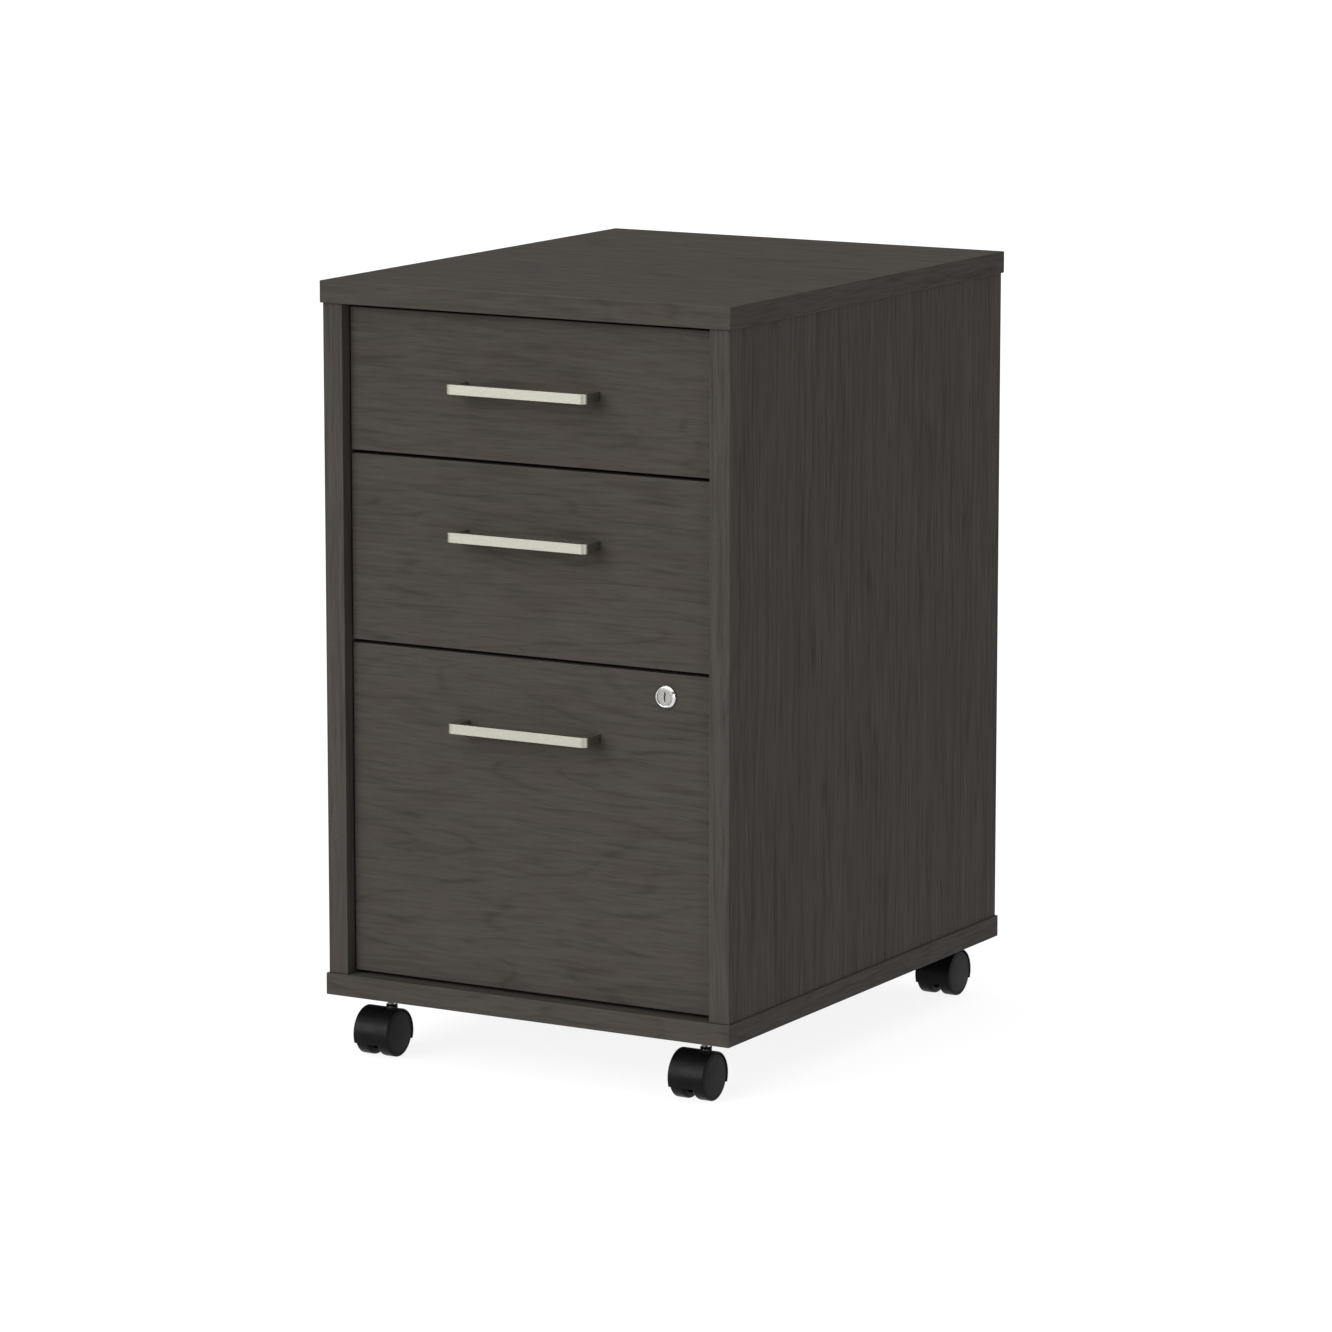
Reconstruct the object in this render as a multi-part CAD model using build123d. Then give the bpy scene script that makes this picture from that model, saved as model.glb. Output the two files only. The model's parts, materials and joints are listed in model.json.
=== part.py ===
from build123d import *

import math
import os

# A mobile drawer pedestal on four twin-wheel casters, with two box drawers over one file drawer.
# Millimetres. +Z is up, -Y is the front with the handles, +X is to the right seen from the front.
# The origin is on the floor, under the middle of the whole pedestal's bounding box.

# ---------------------------------------------------------------- driving sizes: the case
case_width = 398.0  # over the top panel
case_depth = 494.0  # over the top panel
caster_height = 53.0  # from the floor to the underside of the bottom panel
board = 19.0  # top, bottom and side panels
side_inset = 1.6  # side panel face, in from the top panel's side edge
side_front_inset = 2.5  # side panel front edge, behind the top panel's front edge
side_back_inset = 2.5
back_board = 12.0
panel_edge_radius = 0.8

# ---------------------------------------------------------------- driving sizes: the drawer fronts
file_front_height = 286.0
middle_front_height = 160.0
top_front_height = 122.0
front_gap = 3.0  # between two fronts, and above and below them
front_side_gap = 2.0
front_recess = 12.5  # face of the fronts, behind the top panel's front edge
front_board = 16.0
front_edge_radius = 0.8

# ---------------------------------------------------------------- driving sizes: the drawer boxes
box_board = 12.0
box_bottom_board = 6.0
box_groove_height = 8.0  # under the bottom board
box_groove_depth = 5.0
box_groove_fit = 0.1  # all round the bottom board in its grooves
box_back_room = 26.0  # behind the box, to the back panel
file_box_rise = 8.0  # underside of a box, above the bottom edge of its front
file_box_drop = 23.0  # top of a box, below the top edge of its front
middle_box_rise = 28.0
middle_box_drop = 19.0
top_box_rise = 8.0
top_box_drop = 18.0

# ---------------------------------------------------------------- driving sizes: the slides
slide_thickness = 12.7  # between the case side and the box side
slide_setback = 3.5  # behind the fronts
slide_back_room = 47.5
slide_sheet = 1.2
outer_slide_height = 45.0
outer_slide_reach = 9.6
middle_slide_height = 36.4
middle_slide_lift = 3.4  # off the case side, clear of the screw heads
middle_slide_reach = 10.6
inner_slide_height = 27.6
inner_slide_reach = 6.9
file_slide_rise = 60.0  # slide centre above the underside of the box
middle_slide_rise = 40.0
top_slide_rise = 38.0

# ---------------------------------------------------------------- driving sizes: handles and lock
handle_centres = 128.0
handle_leg = 9.0
handle_height = 8.5
handle_bar = 6.0
handle_projection = 24.0
handle_corner_radius = 6.0
handle_inner_radius = 2.0
handle_edge_radius = 1.4
handle_drop = 61.0  # centre line below the front's top edge
handle_thread_depth = 12.0

lock_from_side = 44.6  # lock centre, in from the front's right-hand edge
lock_drop = 19.5  # lock centre, below the file front's top edge
lock_head_radius = 9.75
lock_head_height = 3.0
lock_head_chamfer = 1.1
lock_barrel_radius = 8.5
lock_barrel_overhang = 5.5  # behind the front's back face
lock_plug_radius = 6.0
lock_plug_face_radius = 7.2
lock_plug_face_height = 1.2
lock_plug_recess = 0.5  # plug face below the rim of the head
lock_keyway_width = 1.6
lock_keyway_height = 8.0
lock_keyway_depth = 7.0
lock_nut_flats = 22.0
lock_nut_thickness = 4.0
lock_tail_width = 7.0
cam_thickness = 2.0
cam_width = 13.0
cam_reach = 26.0
cam_screw_head_radius = 4.2
cam_screw_head_height = 2.0
cam_screw_radius = 1.6
cam_screw_depth = 9.0

# ---------------------------------------------------------------- driving sizes: the lock rail
rail_board = 16.0
rail_depth = 70.0
rail_rise = 10.0  # underside, above the file front's top edge
rail_setback = 2.0  # behind the fronts
strike_sheet = 1.5
strike_width = 44.0
strike_length = 26.0
strike_flange = 8.5
strike_cam_gap = 1.2  # between the flange and the locked cam

# ---------------------------------------------------------------- driving sizes: the casters
caster_side_inset = 43.0  # stem axis, in from the top panel's side edge
caster_end_inset = 37.5  # stem axis, in from the top panel's front and back edges
wheel_radius = 20.0
wheel_width = 12.7
wheel_edge_radius = 2.4
wheel_dish_radius = 15.0
wheel_dish_depth = 4.0
wheel_hub_radius = 5.5
wheel_bore_depth = 9.0
caster_trail = 14.0  # axle, ahead of the stem
hood_wall = 1.5
hood_clearance = 0.5
hood_skirt_drop = 7.7  # lower edge of the hood, below the axle
hood_web = 8.0  # between the two wheels
wheel_side_clearance = 0.3
axle_radius = 2.5
axle_fit = 0.04
collar_radius = 5.0
collar_proud = 2.5  # above the hood
collar_depth = 12.0
pin_radius = 3.0
pin_fit = 0.03
pin_depth = 16.0
thrust_gap = 0.2  # between the stem's shoulder and the collar
stem_radius = 3.9
stem_depth = 13.0  # into the insert
insert_radius = 6.0
insert_length = 14.0

# ---------------------------------------------------------------- driving sizes: fasteners and rails
seat_fit = 0.02  # radial, round a fixed fastener in its hole
cam_nut_radius = 7.5
cam_nut_past_middle = 3.0  # the housing ends this far beyond the middle of the side panel
cam_nut_from_edge = 34.0
cam_bolt_radius = 3.1
cam_bolt_room = 1.0  # radial, round the bolt in the side panel's edge
cam_bolt_thread = 11.0
cam_bolt_end_inset = 60.0  # in from the side panel's front and back edges
dowel_radius = 4.0
dowel_depth = 11.0  # into each of the two boards
dowel_end_inset = 92.0
rail_dowel_spacing = 36.0
box_dowel_radius = 3.0
box_dowel_depth = 10.0
box_dowel_inset = 22.0
slide_screw_radius = 1.75
slide_screw_head_radius = 3.6
slide_screw_head_height = 1.6
slide_screw_depth = 10.0
slide_screw_end_inset = 36.0
handle_screw_radius = 2.0
handle_screw_head_radius = 4.0
handle_screw_head_height = 2.6
box_screw_radius = 2.0
box_screw_head_radius = 4.0
box_screw_head_height = 2.2
box_screw_length = 34.0
box_screw_inset = 20.0
strike_screw_radius = 1.75
strike_screw_head_radius = 3.4
strike_screw_head_height = 1.4
strike_screw_depth = 11.0
strike_screw_spacing = 26.0
hanger_sheet = 1.2
hanger_grip = 9.0
hanger_rise = 6.0
hanger_end_room = 4.0

# ---------------------------------------------------------------- worked-out places
overall_depth = case_depth + handle_projection - front_recess
case_front = -overall_depth / 2 + handle_projection - front_recess
case_back = overall_depth / 2
case_half = case_width / 2

bottom_z = caster_height
opening_z = bottom_z + board
file_front_z = opening_z + front_gap
middle_front_z = file_front_z + file_front_height + front_gap
top_front_z = middle_front_z + middle_front_height + front_gap
opening_top_z = top_front_z + top_front_height + front_gap

side_outer_x = case_half - side_inset
side_inner_x = side_outer_x - board
side_front_y = case_front + side_front_inset
side_back_y = case_back - side_back_inset
back_face_y = side_back_y - back_board

cam_nut_length = board / 2 + cam_nut_past_middle
front_face_y = case_front + front_recess
front_back_y = front_face_y + front_board
front_half = side_inner_x - front_side_gap

box_outer_x = side_inner_x - slide_thickness
box_inner_x = box_outer_x - box_board
box_back_y = back_face_y - box_back_room
slide_front_y = front_back_y + slide_setback
slide_back_y = back_face_y - slide_back_room

lock_x = front_half - lock_from_side
lock_z = file_front_z + file_front_height - lock_drop
barrel_end_y = front_back_y + lock_barrel_overhang
cam_front_y = barrel_end_y
cam_back_y = cam_front_y + cam_thickness
rail_z = file_front_z + file_front_height + rail_rise

axle_z = wheel_radius
hood_radius = wheel_radius + hood_clearance + hood_wall
hood_inner_radius = wheel_radius + hood_clearance
collar_z = axle_z + math.sqrt(hood_radius**2 - caster_trail**2) + collar_proud
wheel_inner_x = hood_web / 2 + wheel_side_clearance
caster_half = wheel_inner_x + wheel_width
stem_x = case_half - caster_side_inset
front_stem_y = case_front + caster_end_inset
back_stem_y = case_back - caster_end_inset

slide_screw_ys = (
    slide_front_y + slide_screw_end_inset,
    (slide_front_y + slide_back_y) / 2,
    slide_back_y - slide_screw_end_inset,
)
cam_bolt_ys = (side_front_y + cam_bolt_end_inset, side_back_y - cam_bolt_end_inset)
dowel_ys = (side_front_y + dowel_end_inset, side_back_y - dowel_end_inset)

# name: bottom of the front, its height, and the box's rise, drop and slide height
drawers = {
    "top_drawer": (top_front_z, top_front_height, top_box_rise, top_box_drop, top_slide_rise),
    "middle_drawer": (
        middle_front_z,
        middle_front_height,
        middle_box_rise,
        middle_box_drop,
        middle_slide_rise,
    ),
    "file_drawer": (file_front_z, file_front_height, file_box_rise, file_box_drop, file_slide_rise),
}

# name: stem position, and the way the wheels point from the stem (-1 to the front, +1 to the back)
casters = {
    "front_left_caster": (-stem_x, front_stem_y, -1),
    "front_right_caster": (stem_x, front_stem_y, -1),
    "back_left_caster": (-stem_x, back_stem_y, 1),
    "back_right_caster": (stem_x, back_stem_y, 1),
}


# ---------------------------------------------------------------- helpers
def block(x_range, y_range, z_range):
    """A rectangular solid between two places on each axis."""
    low = (x_range[0], y_range[0], z_range[0])
    size = (x_range[1] - x_range[0], y_range[1] - y_range[0], z_range[1] - z_range[0])
    return Pos(*low) * Box(*size, align=(Align.MIN, Align.MIN, Align.MIN))


def rod_x(radius, x_from, x_to, y, z):
    """A round bar along X."""
    return Pos(min(x_from, x_to), y, z) * Rot(0, 90, 0) * Cylinder(
        radius, abs(x_to - x_from), align=(Align.CENTER, Align.CENTER, Align.MIN)
    )


def rod_y(radius, y_from, y_to, x, z):
    """A round bar along Y."""
    return Pos(x, min(y_from, y_to), z) * Rot(-90, 0, 0) * Cylinder(
        radius, abs(y_to - y_from), align=(Align.CENTER, Align.CENTER, Align.MIN)
    )


def rod_z(radius, z_from, z_to, x, y):
    """A round bar along Z."""
    return Pos(x, y, min(z_from, z_to)) * Cylinder(
        radius, abs(z_to - z_from), align=(Align.CENTER, Align.CENTER, Align.MIN)
    )


def drill(shape, tools):
    """The shape with every tool cut out of it."""
    for tool in tools:
        shape = shape - tool
    return shape


def join(shapes):
    """Touching shapes as one solid."""
    whole = shapes[0]
    for shape in shapes[1:]:
        whole = whole + shape
    return whole


def group(shapes):
    """Separate solids kept apart in one node."""
    solids = []
    for shape in shapes:
        solids.extend(shape.solids())
    return Compound(children=solids)


def save(node, shape):
    """One STEP file per node."""
    export_step(shape, "parts/" + node + ".step")


def rounded(shape, radius):
    """The shape with all its straight outer edges rounded."""
    return fillet(shape.edges(), radius)


# ---------------------------------------------------------------- case fasteners
def cam_bolt(side, y, at_top, grow=0.0):
    """A bolt screwed into the top or bottom panel, with its pin reaching into the cam housing."""
    x = side * (side_outer_x - board / 2)
    if at_top:
        joint_z, way = opening_top_z, 1
    else:
        joint_z, way = opening_z, -1
    thread_end = joint_z + way * cam_bolt_thread
    pin_end = joint_z - way * cam_nut_from_edge
    return rod_z(cam_bolt_radius + grow, pin_end, thread_end, x, y)


def cam_nut_place(side, y, at_top):
    """Inner end, outer end, Y and Z of one cam housing in a side panel."""
    z = opening_top_z - cam_nut_from_edge if at_top else opening_z + cam_nut_from_edge
    return side * side_inner_x, side * (side_inner_x + cam_nut_length), y, z


def cam_nut(side, y, at_top):
    """A drum that grips the bolt's head, with a cross slot for the driver."""
    x_in, x_out, y, z = cam_nut_place(side, y, at_top)
    drum = rod_x(cam_nut_radius, x_in, x_out, y, z)
    bolt_room = cam_bolt(side, y, at_top, grow=seat_fit)
    slot_x = (x_in, x_in + side * 2.0)
    slot = block((min(slot_x), max(slot_x)), (y - 4.0, y + 4.0), (z - 0.8, z + 0.8))
    cross = block((min(slot_x), max(slot_x)), (y - 0.8, y + 0.8), (z - 4.0, z + 4.0))
    return drum - bolt_room - slot - cross


def case_joint_places():
    """Side, Y and end of every cam joint between the side panels and the top and bottom."""
    return [(side, y, at_top) for side in (-1, 1) for y in cam_bolt_ys for at_top in (False, True)]


def case_dowel(side, y, at_top, grow=0.0):
    """A dowel half in a side panel's end and half in the top or bottom panel."""
    x = side * (side_outer_x - board / 2)
    z = opening_top_z if at_top else opening_z
    return rod_z(dowel_radius + grow, z - dowel_depth, z + dowel_depth, x, y)


def rail_dowel(side, offset, grow=0.0):
    """A dowel between the end of the lock rail and a side panel."""
    y = front_back_y + rail_setback + rail_depth / 2 + offset
    inner = side * (side_inner_x - dowel_depth)
    outer = side * (side_inner_x + dowel_depth)
    return rod_x(dowel_radius + grow, inner, outer, y, rail_z + rail_board / 2)


def rail_dowels(grow=0.0):
    """The four dowels of the lock rail."""
    offsets = (-rail_dowel_spacing / 2, rail_dowel_spacing / 2)
    return [rail_dowel(side, offset, grow) for side in (-1, 1) for offset in offsets]


def case_dowels(grow=0.0):
    """The eight dowels between the side panels and the top and bottom."""
    return [
        case_dowel(side, y, at_top, grow)
        for side in (-1, 1)
        for y in dowel_ys
        for at_top in (False, True)
    ]


def case_slide_screw(side, y, z, grow=0.0):
    """A pan-head screw through the outer slide member into the side panel."""
    seat = side * (side_inner_x - slide_sheet)
    shank = rod_x(slide_screw_radius + grow, seat, seat + side * slide_screw_depth, y, z)
    if grow:
        return shank
    head_end = seat - side * slide_screw_head_height
    return shank + rod_x(slide_screw_head_radius, seat, head_end, y, z)


def case_slide_screws(grow=0.0):
    """All screws of the outer slide members."""
    return [
        case_slide_screw(side, y, slide_z(name), grow)
        for name in drawers
        for side in (-1, 1)
        for y in slide_screw_ys
    ]


def strike_screw(offset, grow=0.0):
    """A screw up through the strike plate into the lock rail."""
    seat = rail_z - strike_sheet
    y = strike_flange_y() + strike_sheet + strike_length / 2
    shank = rod_z(strike_screw_radius + grow, seat, seat + strike_screw_depth, lock_x + offset, y)
    if grow:
        return shank
    head_end = seat - strike_screw_head_height
    return shank + rod_z(strike_screw_head_radius, head_end, seat, lock_x + offset, y)


def strike_screws(grow=0.0):
    """The two screws of the strike plate."""
    return [strike_screw(way * strike_screw_spacing / 2, grow) for way in (-1, 1)]


# ---------------------------------------------------------------- case panels
def case_plate(z_from):
    """A top or bottom panel with softly rounded edges."""
    plate = block((-case_half, case_half), (case_front, case_back), (z_from, z_from + board))
    return rounded(plate, panel_edge_radius)


def top_panel():
    """The worktop, drilled underneath for its bolts and dowels."""
    holes = [cam_bolt(side, y, top, seat_fit) for side, y, top in case_joint_places() if top]
    return drill(case_plate(opening_top_z), holes + case_dowels(seat_fit))


def bottom_panel():
    """The base, drilled on top for bolts and dowels and underneath for the caster inserts."""
    holes = [cam_bolt(side, y, top, seat_fit) for side, y, top in case_joint_places() if not top]
    inserts = [
        rod_z(insert_radius + seat_fit, bottom_z, bottom_z + insert_length, x, y)
        for x, y, _ in casters.values()
    ]
    return drill(case_plate(bottom_z), holes + case_dowels(seat_fit) + inserts)


def side_panel(side):
    """A side panel, drilled for cam housings, bolts, dowels and slide screws."""
    x_range = sorted((side * side_inner_x, side * side_outer_x))
    panel = block(x_range, (side_front_y, side_back_y), (opening_z, opening_top_z))
    holes = []
    for this_side, y, at_top in case_joint_places():
        if this_side == side:
            x_in, x_out, _, z = cam_nut_place(side, y, at_top)
            holes.append(rod_x(cam_nut_radius + seat_fit, x_in, x_out, y, z))
            holes.append(cam_bolt(side, y, at_top, cam_bolt_room))
    holes.extend(case_dowels(seat_fit))
    holes.extend(rail_dowels(seat_fit))
    holes.extend(case_slide_screws(seat_fit))
    return drill(panel, [hole for hole in holes if hole.center().X * side > 0])


def back_panel():
    """The back, between the side panels and flush with their back edges."""
    return block((-side_inner_x, side_inner_x), (back_face_y, side_back_y), (opening_z, opening_top_z))


def lock_rail():
    """The cross rail between the middle and the file drawer that carries the strike plate."""
    ys = (front_back_y + rail_setback, front_back_y + rail_setback + rail_depth)
    rail = block((-side_inner_x, side_inner_x), ys, (rail_z, rail_z + rail_board))
    return drill(rail, rail_dowels(seat_fit) + strike_screws(seat_fit))


def strike_flange_y():
    """Front face of the strike plate's flange, just ahead of the locked cam."""
    return cam_front_y - strike_cam_gap - strike_sheet


def lock_strike_plate():
    """An L-shaped steel plate under the rail; its flange stops the turned cam."""
    x_range = (lock_x - strike_width / 2, lock_x + strike_width / 2)
    y_from = strike_flange_y()
    leg = block(x_range, (y_from, y_from + strike_sheet + strike_length), (rail_z - strike_sheet, rail_z))
    flange = block(x_range, (y_from, y_from + strike_sheet), (rail_z - strike_flange, rail_z))
    return drill(leg + flange, strike_screws(seat_fit))


# ---------------------------------------------------------------- slides
def slide_z(name):
    """Centre height of a drawer's slides."""
    front_z, _, rise, _, slide_rise = drawers[name]
    return front_z + rise + slide_rise


def channel(side, z, web, reach, height):
    """A channel along Y: web and reach are distances from the case side, flanges join the two."""
    xs = [side * (side_inner_x - distance) for distance in (web, reach)]
    web_end = xs[0] - side * slide_sheet * (1 if reach > web else -1)
    ys = (slide_front_y, slide_back_y)
    low, high = z - height / 2, z + height / 2
    plate = block(sorted((xs[0], web_end)), ys, (low, high))
    upper = block(sorted(xs), ys, (high - slide_sheet, high))
    lower = block(sorted(xs), ys, (low, low + slide_sheet))
    return join([plate, upper, lower])


def case_slide_channels():
    """The six outer slide members, screwed to the side panels."""
    holes = case_slide_screws(seat_fit)
    channels = []
    for name in drawers:
        for side in (-1, 1):
            member = channel(side, slide_z(name), 0.0, outer_slide_reach, outer_slide_height)
            near = [hole for hole in holes if abs(hole.center().Z - slide_z(name)) < 1.0]
            channels.append(drill(member, [hole for hole in near if hole.center().X * side > 0]))
    return group(channels)


def middle_slides(name):
    """The pair of telescoping middle members of one drawer."""
    return group(
        [
            channel(side, slide_z(name), middle_slide_lift, middle_slide_reach, middle_slide_height)
            for side in (-1, 1)
        ]
    )


def drawer_slides(name):
    """The pair of inner members, screwed to the drawer box."""
    members = []
    for side in (-1, 1):
        z = slide_z(name)
        reach = slide_thickness - inner_slide_reach
        member = channel(side, z, slide_thickness, reach, inner_slide_height)
        members.append(drill(member, box_slide_screws(name, side, seat_fit)))
    return group(members)


def box_slide_screws(name, side, grow=0.0):
    """The screws that hold an inner member to the box side."""
    seat = side * (box_outer_x + slide_sheet)
    screws = []
    for y in slide_screw_ys:
        shank = rod_x(slide_screw_radius + grow, seat, seat - side * slide_screw_depth, y, slide_z(name))
        if not grow:
            head_end = seat + side * slide_screw_head_height
            shank = shank + rod_x(slide_screw_head_radius, seat, head_end, y, slide_z(name))
        screws.append(shank)
    return screws


# ---------------------------------------------------------------- drawer boxes
def box_heights(name):
    """Underside and top of a drawer box."""
    front_z, height, rise, drop, _ = drawers[name]
    return front_z + rise, front_z + height - drop


def bottom_board_z(name):
    """Underside of the bottom board."""
    return box_heights(name)[0] + box_groove_height


def bottom_board(name, grow=0.0):
    """The bottom board, let into grooves in the sides and running under the back board."""
    reach = box_inner_x + box_groove_depth - box_groove_fit + grow
    z = bottom_board_z(name)
    return block(
        (-reach, reach),
        (front_back_y, box_back_y),
        (z - grow, z + box_bottom_board + grow),
    )


def box_dowels(name, side, grow=0.0):
    """Two dowels between a drawer side and the front."""
    low, high = box_heights(name)
    x = side * (box_inner_x + box_board / 2)
    ends = (front_back_y - box_dowel_depth, front_back_y + box_dowel_depth)
    heights = (low + box_dowel_inset, high - box_dowel_inset)
    return [rod_y(box_dowel_radius + grow, ends[0], ends[1], x, z) for z in heights]


def box_screws(name, side, grow=0.0):
    """Two screws through a drawer side into the end of the back board."""
    low, high = box_heights(name)
    seat = side * (box_outer_x - box_screw_head_height)
    screws = []
    for z in (low + box_screw_inset + box_bottom_board, high - box_screw_inset):
        y = box_back_y - box_board / 2
        shank = rod_x(box_screw_radius + grow, seat, seat - side * box_screw_length, y, z)
        head = rod_x(box_screw_head_radius + grow, seat, side * box_outer_x, y, z)
        screws.append(shank + head)
    return screws


def drawer_side(name, side):
    """One drawer side, grooved and drilled."""
    low, high = box_heights(name)
    panel = block(sorted((side * box_inner_x, side * box_outer_x)), (front_back_y, box_back_y), (low, high))
    holes = [bottom_board(name, box_groove_fit)]
    holes.extend(box_dowels(name, side, seat_fit))
    holes.extend(box_screws(name, side, seat_fit))
    holes.extend(box_slide_screws(name, side, seat_fit))
    return drill(panel, holes)


def drawer_sides(name):
    """Both drawer sides."""
    return group([drawer_side(name, side) for side in (-1, 1)])


def drawer_back(name):
    """The back board, standing on the bottom board between the sides."""
    high = box_heights(name)[1]
    low = bottom_board_z(name) + box_bottom_board
    board_back = block((-box_inner_x, box_inner_x), (box_back_y - box_board, box_back_y), (low, high))
    return drill(board_back, box_screws(name, -1, seat_fit) + box_screws(name, 1, seat_fit))


# ---------------------------------------------------------------- fronts, handles and the lock
def handle_z(name):
    """Centre height of a handle."""
    front_z, height = drawers[name][:2]
    return front_z + height - handle_drop


def handle_screws(name, grow=0.0):
    """The two machine screws from inside the drawer into the handle's legs."""
    tip = front_face_y - handle_thread_depth + 2.0
    screws = []
    for side in (-1, 1):
        x = side * handle_centres / 2
        shank = rod_y(handle_screw_radius + grow, tip, front_back_y, x, handle_z(name))
        if not grow:
            head_end = front_back_y + handle_screw_head_height
            shank = shank + rod_y(handle_screw_head_radius, front_back_y, head_end, x, handle_z(name))
        screws.append(shank)
    return screws


def drawer_front(name):
    """The inset front, drilled for its handle, its dowels and, on the file drawer, the lock."""
    front_z, height = drawers[name][:2]
    panel = block(
        (-front_half, front_half), (front_face_y, front_back_y), (front_z, front_z + height)
    )
    panel = rounded(panel, front_edge_radius)
    holes = handle_screws(name, seat_fit)
    for side in (-1, 1):
        holes.extend(box_dowels(name, side, seat_fit))
    if name == "file_drawer":
        holes.append(rod_y(lock_barrel_radius + seat_fit, front_face_y, front_back_y, lock_x, lock_z))
    return drill(panel, holes)


def handle(name):
    """A bow handle: a flat bar on two legs, bent from one piece, with soft edges."""
    z = handle_z(name)
    outer = handle_centres / 2 + handle_leg / 2
    inner = outer - handle_leg
    bar_y = front_face_y - handle_projection
    low, high = z - handle_height / 2, z + handle_height / 2
    bow = block((-outer, outer), (bar_y, front_face_y), (low, high))
    corners = bow.edges().filter_by(Axis.Z).group_by(Axis.Y)[0]
    bow = fillet(corners, handle_corner_radius)
    gap = block((-inner, inner), (bar_y + handle_bar, front_face_y), (low, high))
    inner_corners = gap.edges().filter_by(Axis.Z).group_by(Axis.Y)[0]
    bow = bow - fillet(inner_corners, handle_inner_radius)
    rims = bow.faces().filter_by(Axis.Z).edges()
    soft = [edge for edge in rims if edge.center().Y < front_face_y - 0.1]
    bow = fillet(soft, handle_edge_radius)
    threads = [
        rod_y(
            handle_screw_radius + seat_fit,
            front_face_y - handle_thread_depth,
            front_face_y,
            side * handle_centres / 2,
            z,
        )
        for side in (-1, 1)
    ]
    return drill(bow, threads)


def lock_barrel():
    """The fixed barrel: a bevelled round head on the face and a threaded body through the front."""
    head = rod_y(lock_head_radius, front_face_y - lock_head_height, front_face_y, lock_x, lock_z)
    rim = head.edges().group_by(Axis.Y)[0]
    head = chamfer(rim, lock_head_chamfer)
    body = rod_y(lock_barrel_radius, front_face_y, barrel_end_y, lock_x, lock_z)
    bore = rod_y(
        lock_plug_radius + pin_fit, front_face_y - lock_head_height, barrel_end_y, lock_x, lock_z
    )
    seat_depth = lock_plug_recess + lock_plug_face_height + pin_fit
    face_seat = rod_y(
        lock_plug_face_radius + pin_fit,
        front_face_y - lock_head_height,
        front_face_y - lock_head_height + seat_depth,
        lock_x,
        lock_z,
    )
    return head + body - bore - face_seat


def square_y(width, y_from, y_to):
    """A square bar along Y on the lock's axis."""
    half = width / 2
    return block((lock_x - half, lock_x + half), (y_from, y_to), (lock_z - half, lock_z + half))


def cam_screw_hole(grow=0.0):
    """The thread of the cam screw in the plug's tail."""
    return rod_y(cam_screw_radius + grow, cam_back_y - cam_screw_depth, cam_back_y, lock_x, lock_z)


def lock_plug():
    """The turning plug with its upright keyway and a square tail for the cam."""
    face_y = front_face_y - lock_head_height + lock_plug_recess
    face = rod_y(lock_plug_face_radius, face_y, face_y + lock_plug_face_height, lock_x, lock_z)
    shank = rod_y(lock_plug_radius, face_y, barrel_end_y, lock_x, lock_z)
    tail = square_y(lock_tail_width, barrel_end_y, cam_back_y)
    keyway = block(
        (lock_x - lock_keyway_width / 2, lock_x + lock_keyway_width / 2),
        (face_y, face_y + lock_keyway_depth),
        (lock_z - lock_keyway_height / 2, lock_z + lock_keyway_height / 2),
    )
    return join([face, shank, tail]) - keyway - cam_screw_hole(seat_fit)


def lock_cam():
    """The flat cam, lying sideways while the drawer is unlocked, with a rounded tip."""
    half = cam_width / 2
    tip_x = lock_x - cam_reach + half
    arm = block((tip_x, lock_x), (cam_front_y, cam_back_y), (lock_z - half, lock_z + half))
    tip = rod_y(half, cam_front_y, cam_back_y, tip_x, lock_z)
    hub = rod_y(half, cam_front_y, cam_back_y, lock_x, lock_z)
    hole = square_y(lock_tail_width + 2 * seat_fit, cam_front_y, cam_back_y)
    return join([arm, tip, hub]) - hole


def lock_cam_screw():
    """The screw that holds the cam on the plug's tail."""
    head_end = cam_back_y + cam_screw_head_height
    head = rod_y(cam_screw_head_radius, cam_back_y, head_end, lock_x, lock_z)
    return head + cam_screw_hole()


def lock_nut():
    """The hexagon nut that clamps the barrel to the front."""
    flat = RegularPolygon(lock_nut_flats / 2, 6, major_radius=False)
    nut = extrude(Plane.XZ * flat, -lock_nut_thickness)
    nut = Pos(lock_x, front_back_y, lock_z) * nut
    return nut - rod_y(
        lock_barrel_radius + seat_fit, front_back_y, front_back_y + lock_nut_thickness, lock_x, lock_z
    )


def drawer_fasteners(name):
    """Handle screws, slide screws, side dowels and back-board screws of one drawer."""
    pieces = handle_screws(name)
    for side in (-1, 1):
        pieces.extend(box_slide_screws(name, side))
        pieces.extend(box_dowels(name, side))
        pieces.extend(box_screws(name, side))
    return group(pieces)


def hanging_file_rails():
    """Folded rails clipped over the file drawer's sides, for hanging folders."""
    high = box_heights("file_drawer")[1]
    ys = (front_back_y + hanger_end_room, box_back_y - box_board - hanger_end_room)
    rails = []
    for side in (-1, 1):
        inner, outer = side * box_inner_x, side * box_outer_x
        cap_xs = sorted((inner - side * hanger_sheet, outer + side * hanger_sheet))
        cap = block(cap_xs, ys, (high, high + hanger_sheet))
        inner_leg = block(sorted((inner - side * hanger_sheet, inner)), ys, (high - hanger_grip, high))
        outer_leg = block(sorted((outer, outer + side * hanger_sheet)), ys, (high - hanger_grip, high))
        middle = (inner + outer) / 2
        fin = block(
            (middle - hanger_sheet / 2, middle + hanger_sheet / 2), ys, (high, high + hanger_rise)
        )
        rails.append(join([cap, inner_leg, outer_leg, fin]))
    return group(rails)


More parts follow.
